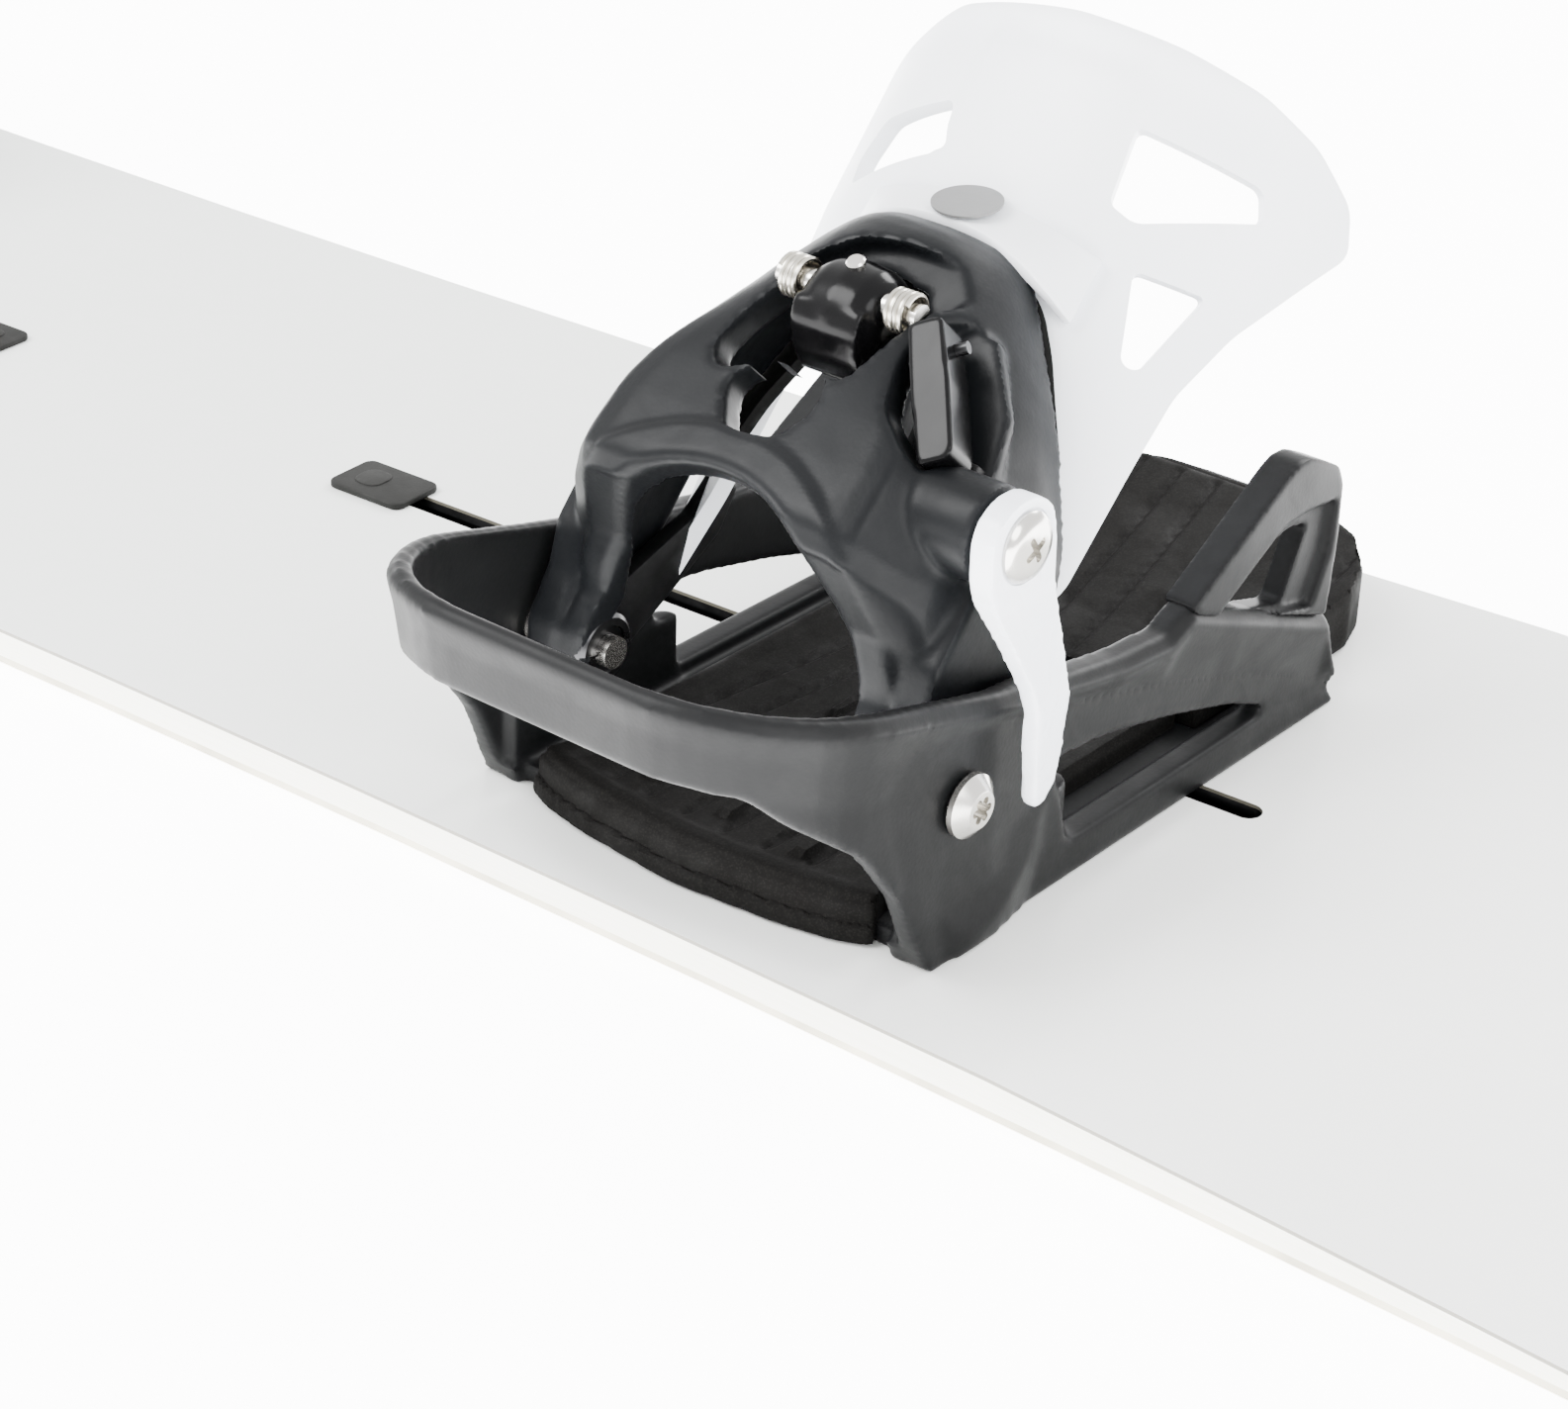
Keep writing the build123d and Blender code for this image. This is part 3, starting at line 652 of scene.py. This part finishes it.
def heel_pad():
    half = [(50, 20.2), (50, -99), (52.5, -106), (44, -110), (30, -113), (0, -116)]
    plan = half + [(-x, y) for x, y in reversed(half[:-1])]
    layers = [slab(plan, 0.4, 4.0, corner=1.5), slab([(x * 0.985, y * 0.985) for x, y in plan], 3, 9.4),
              slab([(x * 0.965, y * 0.968) for x, y in plan], 8.6, PAD_TOP - 0.8)]
    on_floor = slab([(-60, FLOOR_BACK), (60, FLOOR_BACK), (60, 40), (-60, 40)], -2, FLOOR_Z + 0.2)
    pad = cut(mould(joined(*layers), 1.0, 3), on_floor)
    return pad_surface(pad, heel_edge, HEEL_LEAN,
                       [(-22, -92), (2, -94), (26, -96), (-10, -38), (16, -58), (30, 8), (-34, 8)])


def toe_pad():
    half = [(54, 20.8), (54, 92), (50, 104), (40, 116), (28, 122), (14, 126)]
    plan = half + [(-x, y) for x, y in reversed(half)]
    side = [(20.8, 5.2), (66.5, 5.2), (66.5, 0.4), (126, 0.4), (126, 18), (119, 20.6), (95, 17.2),
            (70, 14.4), (45, 12.4), (20.8, 12.4)]
    pad = mould(keep(slab(plan, 0, 30), slab(side, -60, 60, "x")), 1.05, 3)
    return pad_surface(pad, toe_edge, TOE_LEAN, [(-30, 34), (0, 30), (28, 36)])


# ---- toe hooks
def toe_hook():
    """A triangular lug: sloping rear bar and front leg, hollowed from the outside."""
    side = [(-5, 53), (-2, 50), (58, 27.5), (60, 50), (59.5, 64), (57, 69), (50, 72.8), (43, 76),
            (38, 76.5), (33, 74.5), (26, 70.5)]
    window = [(48, 56), (40, 57.5), (33, 56.5), (13, 47.5), (22, 42), (39, 37)]
    hollow = [(57, 60), (42, 61.5), (33, 60.5), (6, 46), (22, 40), (50, 33), (56, 46)]
    hook = slab(side, WALL_IN - 0.5, WALL_OUT - 0.4, "x", 1.2, 2)
    hook = cut(hook, slab(window, 50, 80, "x", 2.0, 3), slab(hollow, WALL_OUT - 3.0, 80, "x", 1.0, 2))
    return mould(hook, 0.75, 4)


# ---- heel arch, upright frame
# half-width and rear face, against height
HALF_WIDTH = ((-14, 57.3), (44, 57.3), (56, 56.2), (64, 53), (72, 49.5), (84, 44), (95, 37.5),
              (107, 30), (115, 25), (119, 21.5))
REAR = ((-14, -13), (12, -16), (22, -26), (31, -42), (38, -46.5), (52, -44.5), (75, -39.5), (96, -34.5),
        (108, -29), (115, -24), (119, -17))
OVAL_W, OVAL_H = 39.0, 41.5           # half-axes of the heel opening
ARCH_MIDDLE, ARCH_WALL, ARCH_TOP, ARCH_FOOT = 6.0, 9.5, 119, -14
ARCH_SIDES, ARCH_STEPS, TOP_POWER = 72, 44, 2.4
# the legs' section as a share of half-width and half-depth, from the rear round to the front
CORNERS = ((0.0, -1.0), (0.66, -1.0), (0.90, -0.66), (1.0, -0.12), (1.0, 1.0), (0.0, 1.0))


def faceted(s, c):
    """Where a direction from the middle meets the leg's cornered outline."""
    for (ax, ay), (bx, by) in zip(CORNERS, CORNERS[1:]):
        ex, ey = bx - ax, by - ay
        turn = s * ey - c * ex
        if abs(turn) > 1e-9:
            reach, part = (ax * ey - ay * ex) / turn, (ax * c - ay * s) / turn
            if reach > 0 and -1e-6 <= part <= 1 + 1e-6:
                return s * reach, c * reach
    return s, c


def arch_point(turn, height, inset):
    """A point of the arch's outer form: cornered at the legs, round at the top."""
    wide = along(HALF_WIDTH, height) - inset
    deep = ARCH_MIDDLE - along(REAR, height) - inset
    s, c = sin(turn), cos(turn)
    across, ahead = faceted(abs(s), c)
    soft = smooth(height, 62, 96)
    power = 2 / TOP_POWER
    round_x, round_a = abs(s) ** power, (abs(c) ** power) * (1 if c > 0 else -1)
    x = wide * (across + (round_x - across) * soft) * (1 if s > 0 else -1)
    a = ARCH_MIDDLE + deep * (ahead + (round_a - ahead) * soft)
    return x, a


def arch_form(inset, low, high):
    """A closed column of the arch's section, from low to high."""
    bm = bmesh.new()
    bmesh.ops.create_circle(bm, segments=ARCH_SIDES, radius=1.0, cap_ends=True)
    face = bm.faces[:][0]
    turns = {v: atan2(v.co.x, v.co.y) for v in bm.verts}
    for i in range(ARCH_STEPS + 1):
        height = low + (high - low) * i / ARCH_STEPS
        if i:
            made = bmesh.ops.extrude_face_region(bm, geom=[face])["geom"]
            bmesh.ops.delete(bm, geom=[face], context="FACES_ONLY")
            face = next(g for g in made if isinstance(g, bmesh.types.BMFace))
            turns = {v: turns[next(e.other_vert(v) for e in v.link_edges if e.other_vert(v) in turns)]
                     for v in face.verts}
        for vert in face.verts:
            x, a = arch_point(turns[vert], height, inset)
            vert.co = (x, a, height)
    bmesh.ops.recalc_face_normals(bm, faces=bm.faces[:])
    return bm


def oval_distance(x, b):
    """How far outside the heel opening a point lies, roughly in millimetres."""
    reach = sqrt((x / OVAL_W) ** 2 + (b / OVAL_H) ** 2)
    return (reach - 1.0) * 40.0


def lean_place(bm):
    """From the lean lever's own frame, pin at the origin, to the upright frame."""
    return shifted(bm, Matrix.Translation(LEAN_PIN) @ Matrix.Rotation(-LEAN_TURN, 4, "Y"))


def lever_spot():
    """The release lever's screw in the upright frame."""
    y, z = LEVER_Y - AXIS_Y, LEVER_Z - AXIS_Z
    return y * cos(TILT) - z * sin(TILT), y * sin(TILT) + z * cos(TILT)


def heel_arch():
    """Arched shell on two legs: heel opening, window, and pockets for the latch and the lean lever."""
    shell = cut(arch_form(0, ARCH_FOOT, ARCH_TOP), arch_form(ARCH_WALL, -20, 108.5))
    profile = [(-11, 0), (-13, 12), (-20, 22), (-50, 36), (-52, 62), (-44, 95), (-27, 121),
               (11, 121), (14, 60), (11, 20), (10.5, 0), (4, -10), (-4, -10)]
    shell = keep(shell, slab(profile, -70, 70, "x", 2, 2))
    back_curve = turned([(-40, 0), (-40, 84.3), (200, 84.3), (200, 0)], 96, "z", (0, HIGHBACK_R, 0))
    oval = slab([(OVAL_W * cos(t * pi / 24), OVAL_H * sin(t * pi / 24)) for t in range(48)], -70, 0, "y")
    window = slab([(-13, 62), (-8, 70), (10, 71), (12, 62), (8, 54), (2, 51), (-6, 51)], -60, -6, "y", 3, 4)
    pocket = slab([(-16, 99), (-8, 106.5), (2, 109), (23, 109), (26, 104), (19, 93), (16.5, 82), (14, 71),
                   (-4, 71), (-18, 64), (-22, 69), (-21, 80), (-18, 90)], -60, -23, "y", 2.5, 3)
    slot = slab([(-13, 101), (13, 101), (12.5, 71), (-12.5, 71)], -60, -8, "y", 2, 3)
    lean_pocket = slab([(23, 94), (28, 98), (35, 93), (44, 81), (50, 70), (51, 61), (46, 57), (38, 60),
                        (27, 69), (22.5, 80)], -60, -21, "y", 3, 3)
    shell = cut(shell, back_curve, oval, window, pocket, slot, lean_pocket)
    leg = slab([(-11, -1), (-13, 12), (-18, 22), (-18, 44), (2, 46), (9, 24), (10, 0), (4, -10), (-4, -10)],
               47.8, 56.8, "x", 1.5, 2)
    boss_at = lever_spot()
    boss = rod(11.5, 42, 60.2, boss_at)
    pocket_floor = slab([(20, 98), (34, 96), (46, 80), (50, 62), (40, 56), (24, 66)], -21.5, -17, "y")
    arch = mould(joined(shell, mirrored(leg), leg, boss, pocket_floor), 1.1, 5)
    for vert in arch.verts:                 # the raised band round the heel opening
        away = oval_distance(vert.co.x, vert.co.z)
        band = (1.0 - smooth(away, 8.5, 11.5)) * smooth(vert.co.z, 8, 20)
        band *= smooth(-vert.normal.y, 0.2, 0.75) * smooth(away, -0.5, 3.0)
        vert.co += vert.normal * 1.2 * band
    return cut(arch, rod(BUSH_HOLE_R, -70, 70), rod(SHAFT_HOLE_R, -20.5, 20.5, (SHAFT_A, SHAFT_B)),
               rod(LEVER_HOLE_R, 43, 70, boss_at))


def arch_liner():
    """Rubber strip between the arch and the highback."""
    half = [(0, 119), (17, 119), (26, 112), (32, 103), (38, 91), (43, 81), (46, 68), (47, 55), (38, 55),
            (34, 70), (26, 86), (18, 96), (0, 99)]
    outline = half + [(-x, b) for x, b in reversed(half[1:-1])]
    return wrapped(outline, (), HIGHBACK_R + 0.5, 3.0, 0.5)


# ---- highback, upright frame
def wrapped(points, holes, radius, thick, round_edge, sculpt=None):
    """A flat outline bent to the highback's curve, its thickness outside the radius."""
    def flat(outline):
        return [(radius * asin(max(-0.99, min(0.99, x / radius))), b) for x, b in outline]
    sheet = slab(flat(points), 0, thick, "y", 2.5, 3)
    if holes:
        sheet = cut(sheet, *[slab(flat(hole), -5, 15, "y", 2.0, 4) for hole in holes])
    low = min(v.co.z for v in sheet.verts)
    high = max(v.co.z for v in sheet.verts)
    wide = max(v.co.x for v in sheet.verts)
    step = 2.5
    for i in range(int(-wide / step), int(wide / step) + 1):
        bmesh.ops.bisect_plane(sheet, geom=sheet.verts[:] + sheet.edges[:] + sheet.faces[:],
                               plane_co=(i * step, 0, 0), plane_no=(1, 0, 0))
    for i in range(1, int((high - low) / step)):
        bmesh.ops.bisect_plane(sheet, geom=sheet.verts[:] + sheet.edges[:] + sheet.faces[:],
                               plane_co=(0, 0, low + i * step), plane_no=(0, 0, 1))
    bmesh.ops.recalc_face_normals(sheet, faces=sheet.faces[:])
    if round_edge:
        chamfered(sheet, round_edge, 3)
    for vert in sheet.verts:
        s, depth, b = vert.co
        if sculpt:
            depth += sculpt(s, b, depth / thick)
        r = radius + depth
        vert.co = (r * sin(s / radius), HIGHBACK_R - r * cos(s / radius), b)
    return sheet


def highback_relief(s, b, outer):
    """Raised spine between the windows and a thick rolled top edge."""
    spine = 1.0 - smooth(abs(s), 19 + (b - 130) * 0.02, 22 + (b - 130) * 0.02)
    panel = smooth(b, 96, 100) * (1 - smooth(b, 170, 178))
    rim = smooth(b, 172, 181) * (1 - smooth(abs(s), 40, 70))
    return (1.1 * spine * panel + 1.2 * rim) * outer


def visor():
    """The flared foot of the spine, a sloping shelf that ends just above the arch."""
    half, thick = 33.5, 3.2
    bm = bmesh.new()
    bmesh.ops.create_grid(bm, x_segments=28, y_segments=14, size=1.0)
    for vert in bm.verts:
        u, v = vert.co.x, (1 - vert.co.y) / 2
        x = half * u
        sheet_a = HIGHBACK_R - sqrt((HIGHBACK_R + thick) ** 2 - x * x)
        fade = 1 - abs(u) ** 3.0
        top_b = 132.5 - 4.0 * u * u
        lip_b = 121.6 - 10.0 * abs(u) ** 2.4
        lip_a = -14.0 * fade + sheet_a * (1 - fade)
        vert.co = (x, sheet_a + (lip_a - sheet_a) * v ** 1.15, top_b + (lip_b - top_b) * v)
    bmesh.ops.recalc_face_normals(bm, faces=bm.faces[:])
    if max(bm.faces, key=lambda f: f.calc_area()).normal.y > 0:
        bmesh.ops.reverse_faces(bm, faces=bm.faces[:])
    bmesh.ops.solidify(bm, geom=bm.faces[:], thickness=thick)
    bmesh.ops.recalc_face_normals(bm, faces=bm.faces[:])
    return chamfered(bm, 0.7)


def highback():
    """Curved panel with three windows, its shelf, and the two dark arms down to the side bolts."""
    right = [(0, 183), (26, 182.5), (44, 180.5), (56, 176), (64, 168), (66.5, 158), (63, 146), (57, 127),
             (53, 108), (52, 88), (51, 56), (47.6, 46), (47.6, 24), (42, 24), (38, 46), (37, 80),
             (32, 88), (22, 92), (0, 92)]
    left = [(-22, 92), (-32, 88), (-37, 80), (-38, 46), (-42, 24), (-47.6, 24), (-47.6, 46), (-51, 56),
            (-52, 88), (-53, 108), (-57, 122), (-64, 140), (-67, 152), (-65, 163), (-53, 172), (-34, 180)]
    windows = [[(24, 161.5), (51, 161), (53.5, 154), (32.5, 140), (26, 142)],
               [(36.5, 130), (50.5, 132), (45.5, 109), (42, 109)],
               [(-23, 155), (-17, 142), (-47, 131), (-49, 139), (-45, 149)]]
    sheet = wrapped(right + left, windows, HIGHBACK_R - 4, PANEL_THICK, 0.9, highback_relief)
    arm = slab([(-10, 0), (-8, 6), (12, 40), (14, 52), (22, 52), (24, 40), (10, 0), (4, -9), (-4, -9)],
               42.0, 46.8, "x", 1.5, 3)
    arm = chamfered(arm, 0.8)
    for face in arm.faces:
        face.material_index = 1
    return joined(sheet, visor(), mirrored(arm), arm)


def badge():
    """A plain grey disc with a thin pale ring, on the shelf above the arch."""
    disc = turned([(0, 0), (0, 8.6), (0.5, 8.6), (0.55, 8.1), (0.6, 8.0), (0.6, 7.3), (0.5, 7.2), (0.5, 0)],
                  64, "z")
    for face in disc.faces:
        reach = face.calc_center_median().xy.length
        face.material_index = 1 if 7.25 < reach < 8.2 and face.normal.z > 0.5 else 0
    lean = Matrix.Rotation(atan2(-10.8, 10.9) - pi / 2 + radians(2), 4, "X")
    return shifted(disc, Matrix.Translation((1.5, -9.6, 128.2)) @ lean)


# ---- latch, upright frame
def latch_pawl():
    """Black dome on the latch shaft, with a tail that curves down and forward."""
    middle = (0, SHAFT_A + 5.2, SHAFT_B - 3.0)
    dome = turned([(-11.2, 0), (-11.2, 5.5), (-10.6, 8.2), (-9.0, 10.4), (-6.0, 12.0), (0, 12.7), (6.0, 12.0),
                   (9.0, 10.4), (10.6, 8.2), (11.2, 5.5), (11.2, 0)], 48, at=middle)
    tail = slab([(SHAFT_A - 7.2, SHAFT_B - 5), (SHAFT_A - 5.0, SHAFT_B - 11), (SHAFT_A + 1.0, 77),
                 (SHAFT_A + 8.5, 74.5), (SHAFT_A + 11, 76.5), (SHAFT_A + 12, SHAFT_B - 6),
                 (SHAFT_A + 3, SHAFT_B - 3)], -9.6, 9.6, "x", 2.0, 3)
    pawl = mould(joined(dome, tail), 0.6, 14)
    return cut(pawl, rod(PAWL_HOLE_R, -20, 20, (SHAFT_A, SHAFT_B)))


def latch_pin():
    head = turned([(0, 0), (0, 2.3), (0.9, 2.3), (1.35, 1.9), (1.5, 1.0), (1.5, 0)], 32, "z")
    tip = Matrix.Translation((0, SHAFT_A - 3.7, SHAFT_B + 5.9)) @ Matrix.Rotation(radians(65), 4, "X")
    return shifted(head, tip)


def coil(low, high, radius, wire, turns):
    """A spring along X, its wire round and its ends closed."""
    points_per_turn = 24
    curve = bpy.data.curves.new("coil", "CURVE")
    curve.dimensions, curve.bevel_depth, curve.bevel_resolution, curve.use_fill_caps = "3D", wire, 3, True
    spline = curve.splines.new("POLY")
    steps = int(turns * points_per_turn)
    spline.points.add(steps)
    for i, point in enumerate(spline.points):
        turn = 2 * pi * i / points_per_turn
        x = low + (high - low) * i / steps
        point.co = (x, SHAFT_A + radius * cos(turn), SHAFT_B + radius * sin(turn), 1)
    bench = bpy.data.objects.new("coil", curve)
    bpy.context.scene.collection.objects.link(bench)
    mesh = bpy.data.meshes.new_from_object(bench.evaluated_get(bpy.context.evaluated_depsgraph_get()))
    bm = bmesh.new()
    bm.from_mesh(mesh)
    bpy.data.objects.remove(bench)
    bpy.data.curves.remove(curve)
    bpy.data.meshes.remove(mesh)
    bmesh.ops.recalc_face_normals(bm, faces=bm.faces[:])
    return bm


# ---- lean adjuster, upright frame
def lean_lever():
    lever = slab([(-4.2, 6), (4.2, 6), (5.0, -10), (5.0, -27), (3.6, -29), (-3.6, -29), (-4.4, -12)],
                 -7.0, 5.0, "y", 1.8, 3)
    lever = mould(lever, 0.6, 5)
    return lean_place(cut(lever, rod(1.56, -10, 10)))


def lean_block():
    step = slab([(37, 57.6), (50, 57.6), (50, 64), (47, 64), (47, 67), (43.4, 67), (43.4, 64.6), (40, 64.6),
                 (40, 66), (37, 66)], -25.5, -14, "y")
    return chamfered(step, 0.7)


# ---- release lever, binding frame
def release_lever():
    """White lever outside the arch's right leg, bent outwards down to its tip."""
    y, z = LEVER_Y, LEVER_Z
    side = [(y - 12, z + 2), (y - 10, z + 7.5), (y - 4, z + 11), (y + 4, z + 11), (y + 10, z + 7),
            (y + 12, z), (y + 12.5, z - 12), (y + 10, z - 28), (y + 6.5, z - 46), (y + 3, z - 59),
            (y, z - 62.5), (y - 3.5, z - 60), (y - 4, z - 46), (y - 3.5, z - 32), (y - 8, z - 17),
            (y - 11.5, z - 7)]
    front = [(61, z + 15), (67.5, z + 15), (68, 84), (70.5, 77), (77, 60), (77.5, 40), (76, 33.6),
             (73, 33.8), (72.6, 58), (66, 74), (61, 84)]
    lever = keep(slab(side, 55, 85, "x", 2.5, 3), slab(front, -140, 0, "y", 1.5, 3))
    lever = mould(lever, 0.75, 4)
    return cut(lever, rod(LEVER_HOLE_R, 50, 90, (y, z)), rod(8.9, 67.2, 80, (y, z)))


def cross_recess(size, width, depth, face_x):
    """Cutters for a cross recess in a screw head that faces +X."""
    arms = []
    for turn in (0, pi / 2):
        arm = slab([(-size, -width), (size, -width), (size, width), (-size, width)], face_x - depth,
                   face_x + 4, "x", width * 0.8, 3)
        arms.append(shifted(arm, Matrix.Rotation(turn + 0.5, 4, "X")))
    return arms


def lever_screw():
    x = 67.3                              # seat of the head
    head = turned([(44, 0), (44, LEVER_SCREW_R), (x, LEVER_SCREW_R), (x, 8.0), (x + 1.0, 8.3),
                   (x + 2.2, 7.4), (x + 3.0, 5.0), (x + 3.3, 2.0), (x + 3.3, 0)], 56)
    screw = cut(head, *cross_recess(3.6, 0.9, 2.4, x + 3.3))
    return shifted(screw, Matrix.Translation((0, LEVER_Y, LEVER_Z)))


def side_bolts():
    x = 67.5                              # seat of the head
    head = turned([(36, 0), (36, BOLT_R), (x, BOLT_R), (x, 7.4), (x + 0.5, 7.8), (x + 1.8, 7.7),
                   (x + 4.4, 4.6), (x + 4.5, 4.4), (x + 4.5, 0)], 56)
    star = []
    for turn in range(3):
        lobe = slab([(-3.3, -0.95), (3.3, -0.95), (3.3, 0.95), (-3.3, 0.95)], x + 1.5, x + 8, "x", 0.8, 3)
        star.append(shifted(lobe, Matrix.Rotation(turn * pi / 3, 4, "X")))
    bolt = cut(head, *star)
    return pair(shifted(bolt, Matrix.Translation((0, AXIS_Y, AXIS_Z))))


def side_nuts():
    nut = turned([(41.6, 4.02), (41.6, 9), (39.6, 9), (38.6, 8.0), (38.5, 6.2), (39.1, 6.0), (39.1, 4.02),
                  (41.6, 4.02)], 48)
    slot = slab([(-10, -0.9), (10, -0.9), (10, 0.9), (-10, 0.9)], 37, 39.6, "x")
    nut = cut(nut, slot)
    return pair(shifted(nut, Matrix.Translation((0, AXIS_Y, AXIS_Z))))


# ---- slot plug, board frame
def slot_plug():
    """Rubber cap with a low button, its stem down in the slot."""
    low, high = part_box("slot_plug_rear")
    x0, x1, y0, y1 = low.x / MM, high.x / MM, low.y / MM, high.y / MM
    base = BINDING.translation.z / MM
    cap = slab([(x0, y0), (x1, y0), (x1, y1), (x0, y1)], base, high.z / MM, "z", 3, 5)
    cap = chamfered(cap, 0.6, 3)
    button = slab([(x0 + 5, y0 + 4.4), (x0 + 14, y0 + 4.4), (x0 + 14, y1 - 4.4), (x0 + 5, y1 - 4.4)],
                  base + 1.2, high.z / MM + 0.35, "z", 3.4, 5)
    stem = slab([(x0 + 9, -4.8), (x0 + 22, -4.8), (x0 + 22, 4.8), (x0 + 9, 4.8)], base - 2.9, base + 0.5)
    return joined(cap, chamfered(button, 0.3), stem)


def carried_over():
    """Better finishes for the CAD pieces that keep their own shape."""
    finishes = {"topsheet": TOPSHEET, "wood_core": WOOD, "sidewalls": SIDEWALL, "steel_edges": EDGE_STEEL,
                "base_sheet": BASE}
    pairs = {"slot_rail": BLACK, "mounting_disc": BLACK, "disc_screws": STEEL, "slot_nuts": STEEL,
             "side_bushes": STEEL, "latch_shaft": STEEL, "lean_pin": ZINC, "release_link": STEEL}
    for name, finish in pairs.items():
        for side in SIDES:
            finishes[f"{name}_{side}"] = finish
    for name, finish in finishes.items():
        cad = frame["nodes"][name]
        for slot in cad.material_slots:
            slot.material = finish


def build():
    camera()
    studio()
    carried_over()
    place(baseplate(), "base_and_ring", "board", ["baseplate"], CHARCOAL, "charcoal_nylon")
    for pad in place(heel_pad(), "heel_foam", "board", ["heel_pad"], FOAM, "foam"):
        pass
    for pad in place(toe_pad(), "toe_foam", "board", ["toe_pad"], FOAM, "foam"):
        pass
    place(pair(toe_hook()), "toe_hook_pair", "board", ["toe_hooks"], CHARCOAL, "charcoal_nylon")
    place(side_bolts(), "side_bolt_pair", "board", ["side_bolts"], STEEL, "steel")
    place(side_nuts(), "side_nut_pair", "board", ["side_nuts"], ZINC, "black_metal")
    place(slot_plug(), "plug_cap", "board", ["slot_plug"], PLUG, "rubber", Matrix.Scale(MM, 4))
    place(heel_arch(), "arch_shell", "arch", ["heel_arch"], CHARCOAL_ARCH, "charcoal_nylon", UPRIGHT)
    place(arch_liner(), "liner_strip", "arch", ["arch_liner"], RUBBER, "rubber", UPRIGHT)
    place(pair(coil(12.5, 18.2, 4.7, 0.62, 4.5)), "latch_coils", "arch", ["latch_springs"], SPRING,
          "spring_steel", UPRIGHT)
    place(lean_block(), "lean_steps", "arch", ["lean_block"], BLACK, "black_nylon", UPRIGHT)
    place(lever_screw(), "lever_screw_head", "arch", ["lever_screw"], STEEL, "steel")
    place(highback(), "highback_shell", "highback", ["highback"], WHITE, "white_nylon", UPRIGHT, [BLACK])
    place(badge(), "badge_disc", "highback", ["badge"], BADGE, "badge_grey", UPRIGHT, [BADGE_RING])
    place(latch_pawl(), "latch_dome", "latch_pawl", ["latch_pawl"], GLOSS, "black_gloss", UPRIGHT)
    place(latch_pin(), "latch_pin_head", "latch_pawl", ["latch_pin"], STEEL, "steel", UPRIGHT)
    place(lean_lever(), "lean_handle", "lean_lever", ["lean_lever"], GLOSS, "black_gloss", UPRIGHT)
    place(release_lever(), "release_handle", "release_lever", ["release_lever"], LEVER_WHITE,
          "white_nylon")


build()
